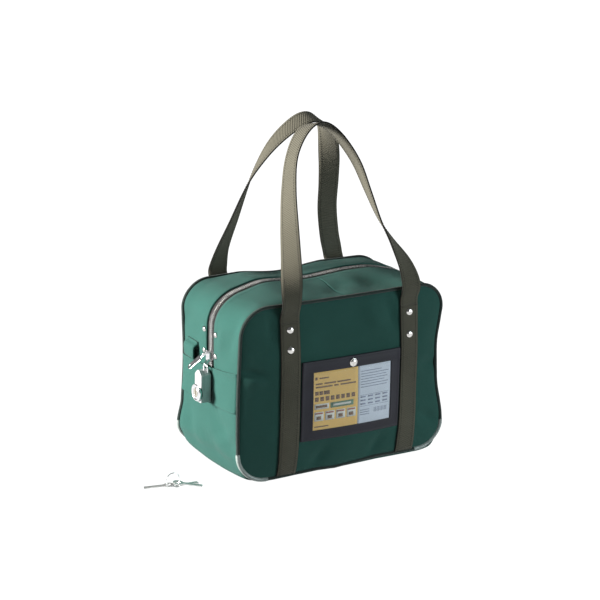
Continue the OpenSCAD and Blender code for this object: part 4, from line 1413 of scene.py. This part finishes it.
for k in range(3):
    mark(0.08, 0.225 - k * 0.04, 0.36, 0.238 - k * 0.04, GREY, "right")
verts, faces, cut = joined(card_parts)
o = piece("index_card", verts, faces, card_inks, cut, card_kinds)
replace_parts(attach(o, "root"), "index_card")

outer_line = []
inset = 3.6 * mm
for a, b in (((pocket_left, pocket_top - 22 * mm), (pocket_left, pocket_low)),
             ((pocket_left, pocket_low), (pocket_right, pocket_low)),
             ((pocket_right, pocket_low), (pocket_right, pocket_top - 22 * mm))):
    for k in np.linspace(0, 1, 20):
        x, z = a[0] + (b[0] - a[0]) * k, a[1] + (b[1] - a[1]) * k
        x = min(max(x, pocket_left + inset), pocket_right - inset)
        z = max(z, pocket_low + inset)
        outer_line.append((x, float(pocket_skin(x, z)) - 2.1 * mm, z))
thread_dark = woven("thread_dark", (0.02, 0.02, 0.028), 0.4 * mm, 0.5, 0.1, 0.05 * mm)
verts, faces, cut = stitches(outer_line, [(0, -1, 0)] * len(outer_line))
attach(piece("pocket_stitches", verts, faces, thread_dark, cut), "root")

low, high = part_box("snap_cap")
snap_r, snap_x, snap_z = (high.x - low.x) / 2, (low.x + high.x) / 2, (low.z + high.z) / 2
snap_y = float(pocket_skin(snap_x, snap_z)) - 2.2 * mm - 0.8 * mm
profile = [(snap_r * 0.9, -0.3 * mm), (snap_r, 0.2 * mm), (snap_r * 0.98, 0.9 * mm), (snap_r * 0.86, 1.35 * mm),
           (snap_r * 0.80, 1.15 * mm)]
for k in np.linspace(0, 1, 8):
    profile.append((max(snap_r * 0.76 * math.cos(k * math.pi / 2), 0.02 * mm),
                    1.2 * mm + 1.5 * mm * math.sin(k * math.pi / 2)))
verts, faces, cut = turned(profile, np.array([snap_x, snap_y, snap_z]), (0, -1, 0), 48)
o = piece("snap_cap", verts, faces, nickel)
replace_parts(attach(o, "pocket_lip"), "snap_cap")
profile = [(4.6 * mm, 0), (4.6 * mm, 0.5 * mm), (2.2 * mm, 0.7 * mm), (1.9 * mm, 1.5 * mm), (2.1 * mm, 2.0 * mm),
           (1.6 * mm, 2.4 * mm)]
verts, faces, cut = turned(profile, np.array([snap_x, snap_y + 3.0 * mm, snap_z]), (0, -1, 0), 32)
o = piece("snap_stud", verts, faces, nickel)
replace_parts(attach(o, "root"), "snap_stud")

# ---------------------------------------------------------------------------
# Slider and pull: a chromed cast slider on the left end of the zip, with a lug
# for the lock below its bridge and a flat pull hung on a small bar.
# ---------------------------------------------------------------------------
chrome = worn_metal("chrome", (0.86, 0.86, 0.87), 0.10, (300, 4),
                    ((0.35, (0.74, 0.74, 0.75)), (0.65, (0.92, 0.92, 0.93))), (0.06, 0.20), 0.03 * mm)


def plate(name, outline, origin, u, v, thick, m, bevel=0.4 * mm, holes=()):
    """Flat part with soft edges: outline and round holes in its own u and v, thickness along their normal."""
    u, v = unit(np.array(u, float)), unit(np.array(v, float))
    w = np.cross(u, v)
    origin = np.array(origin, float)
    me = bpy.data.curves.new(name, "CURVE")
    me.dimensions = "2D"
    me.fill_mode = "BOTH"
    me.extrude = thick / 2 - bevel
    me.bevel_depth = bevel
    me.bevel_resolution = 2
    me.offset = -bevel
    rings_2d = [outline] + [[(x + r * math.cos(a), y + r * math.sin(a))
                             for a in np.linspace(0, -2 * math.pi, 32, endpoint=False)] for x, y, r in holes]
    for line in rings_2d:
        s = me.splines.new("POLY")
        s.points.add(len(line) - 1)
        for point, (x, y) in zip(s.points, line):
            point.co = (x, y, 0, 1)
        s.use_cyclic_u = True
    o = bpy.data.objects.new(name + "_curve", me)
    bpy.context.scene.collection.objects.link(o)
    bpy.context.view_layer.update()
    mesh = bpy.data.meshes.new_from_object(o.evaluated_get(bpy.context.evaluated_depsgraph_get()))
    bpy.data.objects.remove(o)
    co = np.zeros(len(mesh.vertices) * 3)
    mesh.vertices.foreach_get("co", co)
    co = co.reshape(-1, 3)
    co = origin + co[:, :1] * u + co[:, 1:2] * v + co[:, 2:] * w
    mesh.vertices.foreach_set("co", co.reshape(-1))
    mesh.materials.clear()
    mesh.materials.append(m)
    mesh.update()
    mesh.name = name
    o = bpy.data.objects.new(name, mesh)
    bpy.context.scene.collection.objects.link(o)
    mesh.polygons.foreach_set("use_smooth", np.zeros(len(mesh.polygons), bool))
    return o


def arc(x, y, r, a, b, count=10):
    return [(x + r * math.cos(t), y + r * math.sin(t)) for t in np.radians(np.linspace(a, b, count))]


def merge(name, objects):
    """Several made objects as one piece."""
    depsgraph = bpy.context.evaluated_depsgraph_get()
    verts, faces, smooths = [], [], []
    for o in objects:
        mesh = bpy.data.meshes.new_from_object(o.evaluated_get(depsgraph))
        base = len(verts)
        verts += [tuple(v.co) for v in mesh.vertices]
        faces += [tuple(i + base for i in q.vertices) for q in mesh.polygons]
        smooths += [q.use_smooth for q in mesh.polygons]
    m = objects[0].data.materials[0]
    for o in objects:
        bpy.data.objects.remove(o)
    o = piece(name, verts, faces, m)
    o.data.polygons.foreach_set("use_smooth", smooths)
    return o


low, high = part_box("zip_slider")
slider_low = 166.5 * mm
slider_top = high.z
slider_out = -178.0 * mm
inner_x = -172.0 * mm
body_outline = (arc(-3.2 * mm, slider_low + 3.5 * mm, 2.3 * mm, 180, 270, 5)
                + arc(3.2 * mm, slider_low + 3.5 * mm, 2.3 * mm, 270, 360, 5)
                + [(5.4 * mm, slider_top - 5 * mm)]
                + arc(3.6 * mm, slider_top - 2.2 * mm, 2.2 * mm, 0, 90, 5)
                + [(0.9 * mm, slider_top), (0, slider_top - 2.6 * mm), (-0.9 * mm, slider_top)]
                + arc(-3.6 * mm, slider_top - 2.2 * mm, 2.2 * mm, 90, 180, 5)
                + [(-5.4 * mm, slider_top - 5 * mm)])
upright = ((0, 1, 0), (0, 0, 1))
outer_plate = plate("outer_plate", body_outline, (slider_out, 0, 0), *upright, 2.2 * mm, chrome, 0.5 * mm)
inner_plate = plate("inner_plate", body_outline, (inner_x, 0, 0), *upright, 1.5 * mm, chrome, 0.4 * mm)
v, f, c = box_shape(((slider_out + inner_x) / 2, 0, slider_low + 10 * mm), ((1, 0, 0), (0, 1, 0), (0, 0, 1)),
                    (3.2 * mm, 0.4 * mm, 4.5 * mm))
post = piece("post", v, f, chrome, smooth=False)
pivots = {j["name"]: np.array(j["pos_m"]) for j in frame["joints"] if "pos_m" in j}
lock_pivot = pivots["shackle_swing"]
lug_outline = (arc(0, 0, 3.5 * mm, 120, 360, 18)
               + [(3.5 * mm, 2.5 * mm), (6.6 * mm, 4.5 * mm), (6.6 * mm, 7.5 * mm), (2.5 * mm, 6 * mm)])
lug = plate("lug", lug_outline, lock_pivot, (1, 0, 0), (0, 0, 1), 3.0 * mm, chrome, 0.4 * mm,
            [(0, 0, 2.0 * mm)])
tab_pivot = pivots["pull_tab_swing"]
bar_axis = unit(np.array([1.0, 1.0, 0]))
v, f, c = turned([(1.1 * mm, -4.5 * mm), (1.1 * mm, 4.2 * mm)], tab_pivot, bar_axis, 24)
bar = piece("bar", v, f, chrome)
v, f, c = turned([(1.2 * mm, -1.0 * mm), (1.8 * mm, -0.7 * mm), (1.9 * mm, 0), (1.5 * mm, 0.6 * mm)],
                 tab_pivot - bar_axis * 3.9 * mm, bar_axis, 24)
bar_head = piece("bar_head", v, f, chrome)
cheek_at = tab_pivot + bar_axis * 4.5 * mm
cheek_reach = (slider_out - cheek_at[0]) / 2
v, f, c = box_shape((cheek_at[0] + cheek_reach + 0.3 * mm, cheek_at[1], tab_pivot[2]),
                    ((1, 0, 0), (0, 1, 0), (0, 0, 1)), (cheek_reach + 1.3 * mm, 1.3 * mm, 1.8 * mm))
cheek = piece("cheek", v, f, chrome, smooth=False)
slider = merge("zip_slider", [outer_plate, inner_plate, post, lug, bar, bar_head, cheek])
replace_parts(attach(slider, "slider"), "zip_slider")

hang = math.radians(45)
tab_across = bar_axis
tab_down = unit(np.array([-1.0, 1.0, 0])) * math.sin(hang) + np.array([0, 0, -1.0]) * math.cos(hang)
tab_long, tab_half = 30 * mm, 4.5 * mm
tab_face = np.cross(tab_across, tab_down)
slack = math.radians(42)
tab_outline = ([(2.0 * mm, 1.5 * mm), (2.3 * mm, 7.5 * mm), (tab_half, 9.5 * mm)]
               + arc(0, tab_long, tab_half, 0, 180, 18)
               + [(-tab_half, 9.5 * mm), (-2.3 * mm, 7.5 * mm), (-2.0 * mm, 1.5 * mm)])
blade_across = tab_across * math.cos(slack) + tab_face * math.sin(slack)
tab_blade = plate("tab_blade", tab_outline, tab_pivot, blade_across, tab_down, 1.6 * mm, chrome, 0.35 * mm,
                  [(0, tab_long, 2.2 * mm)])
v, f, c = turned([(1.45 * mm, -2.3 * mm), (2.2 * mm, -2.3 * mm), (2.4 * mm, -2.1 * mm), (2.4 * mm, 2.1 * mm),
                  (2.2 * mm, 2.3 * mm), (1.45 * mm, 2.3 * mm)], tab_pivot, tab_across, 28)
barrel = piece("barrel", v, f, chrome)
tab = merge("pull_tab", [tab_blade, barrel])
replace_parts(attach(tab, "pull_tab"), "pull_tab")

# ---------------------------------------------------------------------------
# Padlock: a die cast case with a peaked top and brushed faces, a raised key
# cylinder on its outer face, and a round wire shackle through the slider's lug.
# ---------------------------------------------------------------------------
lock_metal = material("lock_metal", (0.46, 0.47, 0.48), 0.30, 0.5)
n = Nodes(lock_metal)
brush = n.noise(160, 4, stretch=(1, 1, 0.05))
wear = n.noise(90, 3)
tone = n.math("ADD", n.math("MULTIPLY", brush, 0.7), n.math("MULTIPLY", wear, 0.3))
n.colour(n.ramp(tone, (0.3, (0.36, 0.37, 0.38)), (0.6, (0.56, 0.57, 0.58))))
n.rough(tone, 0.22, 0.42)
n.relief(brush, 0.03 * mm)
low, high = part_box("lock_case")
case_mid = (low.y + high.y) / 2
half = (high.y - low.y) / 2
shoulder = 7 * mm
case_r = 2 * mm
case_outline = (arc(-half + case_r, low.z + case_r, case_r, 180, 270, 5)
                + arc(half - case_r, low.z + case_r, case_r, 270, 360, 5)
                + [(half, high.z - shoulder), (half - shoulder, high.z), (-half + shoulder, high.z),
                   (-half, high.z - shoulder)])
case = plate("lock_case", case_outline, ((low.x + high.x) / 2, case_mid, 0), *upright, high.x - low.x,
             lock_metal, 1.1 * mm)
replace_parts(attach(case, "lock"), "lock_case")

low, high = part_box("key_cylinder")
cyl_r = (high.y - low.y) / 2
cyl_at = np.array([high.x, (low.y + high.y) / 2, (low.z + high.z) / 2])
cyl_h = high.x - low.x
profile = [(cyl_r, -1 * mm), (cyl_r, cyl_h - 0.9 * mm), (cyl_r - 0.3 * mm, cyl_h - 0.3 * mm),
           (cyl_r - 0.9 * mm, cyl_h), (cyl_r - 2.2 * mm, cyl_h), (cyl_r - 2.8 * mm, cyl_h - 0.7 * mm),
           (7.6 * mm, cyl_h - 0.8 * mm), (7.0 * mm, cyl_h - 0.1 * mm), (6.2 * mm, cyl_h - 0.1 * mm),
           (6.1 * mm, cyl_h - 1.2 * mm)]
verts, faces, cut = turned(profile, cyl_at, (-1, 0, 0), 64)
cylinder = piece("key_cylinder", verts, faces[:-1], chrome)
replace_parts(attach(cylinder, "lock"), "key_cylinder")

plug_metal = worn_metal("plug_metal", (0.60, 0.55, 0.46), 0.26, (500, 3),
                        ((0.3, (0.50, 0.45, 0.36)), (0.7, (0.72, 0.68, 0.60))), (0.18, 0.34))
frame["nodes"]["lock_plug"].data.materials.clear()
frame["nodes"]["lock_plug"].data.materials.append(plug_metal)

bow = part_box("lock_shackle")
leg_gap = (bow[1].y - bow[0].y) / 2 - 1.5 * mm
bend_z = bow[1].z - 1.5 * mm - leg_gap
bow_line = ([(lock_pivot[0], case_mid - leg_gap, z) for z in np.linspace(bow[0].z, bend_z, 6)][:-1]
            + [(lock_pivot[0], case_mid - leg_gap * math.cos(a), bend_z + leg_gap * math.sin(a))
               for a in np.linspace(0, math.pi, 19)]
            + [(lock_pivot[0], case_mid + leg_gap, z) for z in np.linspace(bend_z, bow[0].z, 6)][1:])
verts, faces, cut = tube(bow_line, 1.5 * mm, 20, across=(1, 0, 0))
shackle = piece("lock_shackle", verts, faces, chrome, cut)
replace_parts(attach(shackle, "shackle"), "lock_shackle")

# ---------------------------------------------------------------------------
# Keys: three flat nickel plated keys on a thin wire ring, lying beside the bag.
# ---------------------------------------------------------------------------
key_metal = material("key_metal", (0.62, 0.63, 0.62), 0.22, 0.75)
n = Nodes(key_metal)
wear = n.noise(350, 4)
scratch = n.noise(240, 2, stretch=(0.15, 1, 1))
tone = n.math("ADD", n.math("MULTIPLY", wear, 0.5), n.math("MULTIPLY", scratch, 0.5))
n.colour(n.ramp(tone, (0.35, (0.44, 0.45, 0.44)), (0.6, (0.74, 0.75, 0.74))))
n.rough(tone, 0.14, 0.34)
n.relief(tone, 0.03 * mm)
for node, finish in (("key_1", key_metal), ("key_2", key_metal), ("key_3", key_metal), ("key_ring", chrome)):
    frame["nodes"][node].data.materials.clear()
    frame["nodes"][node].data.materials.append(finish)
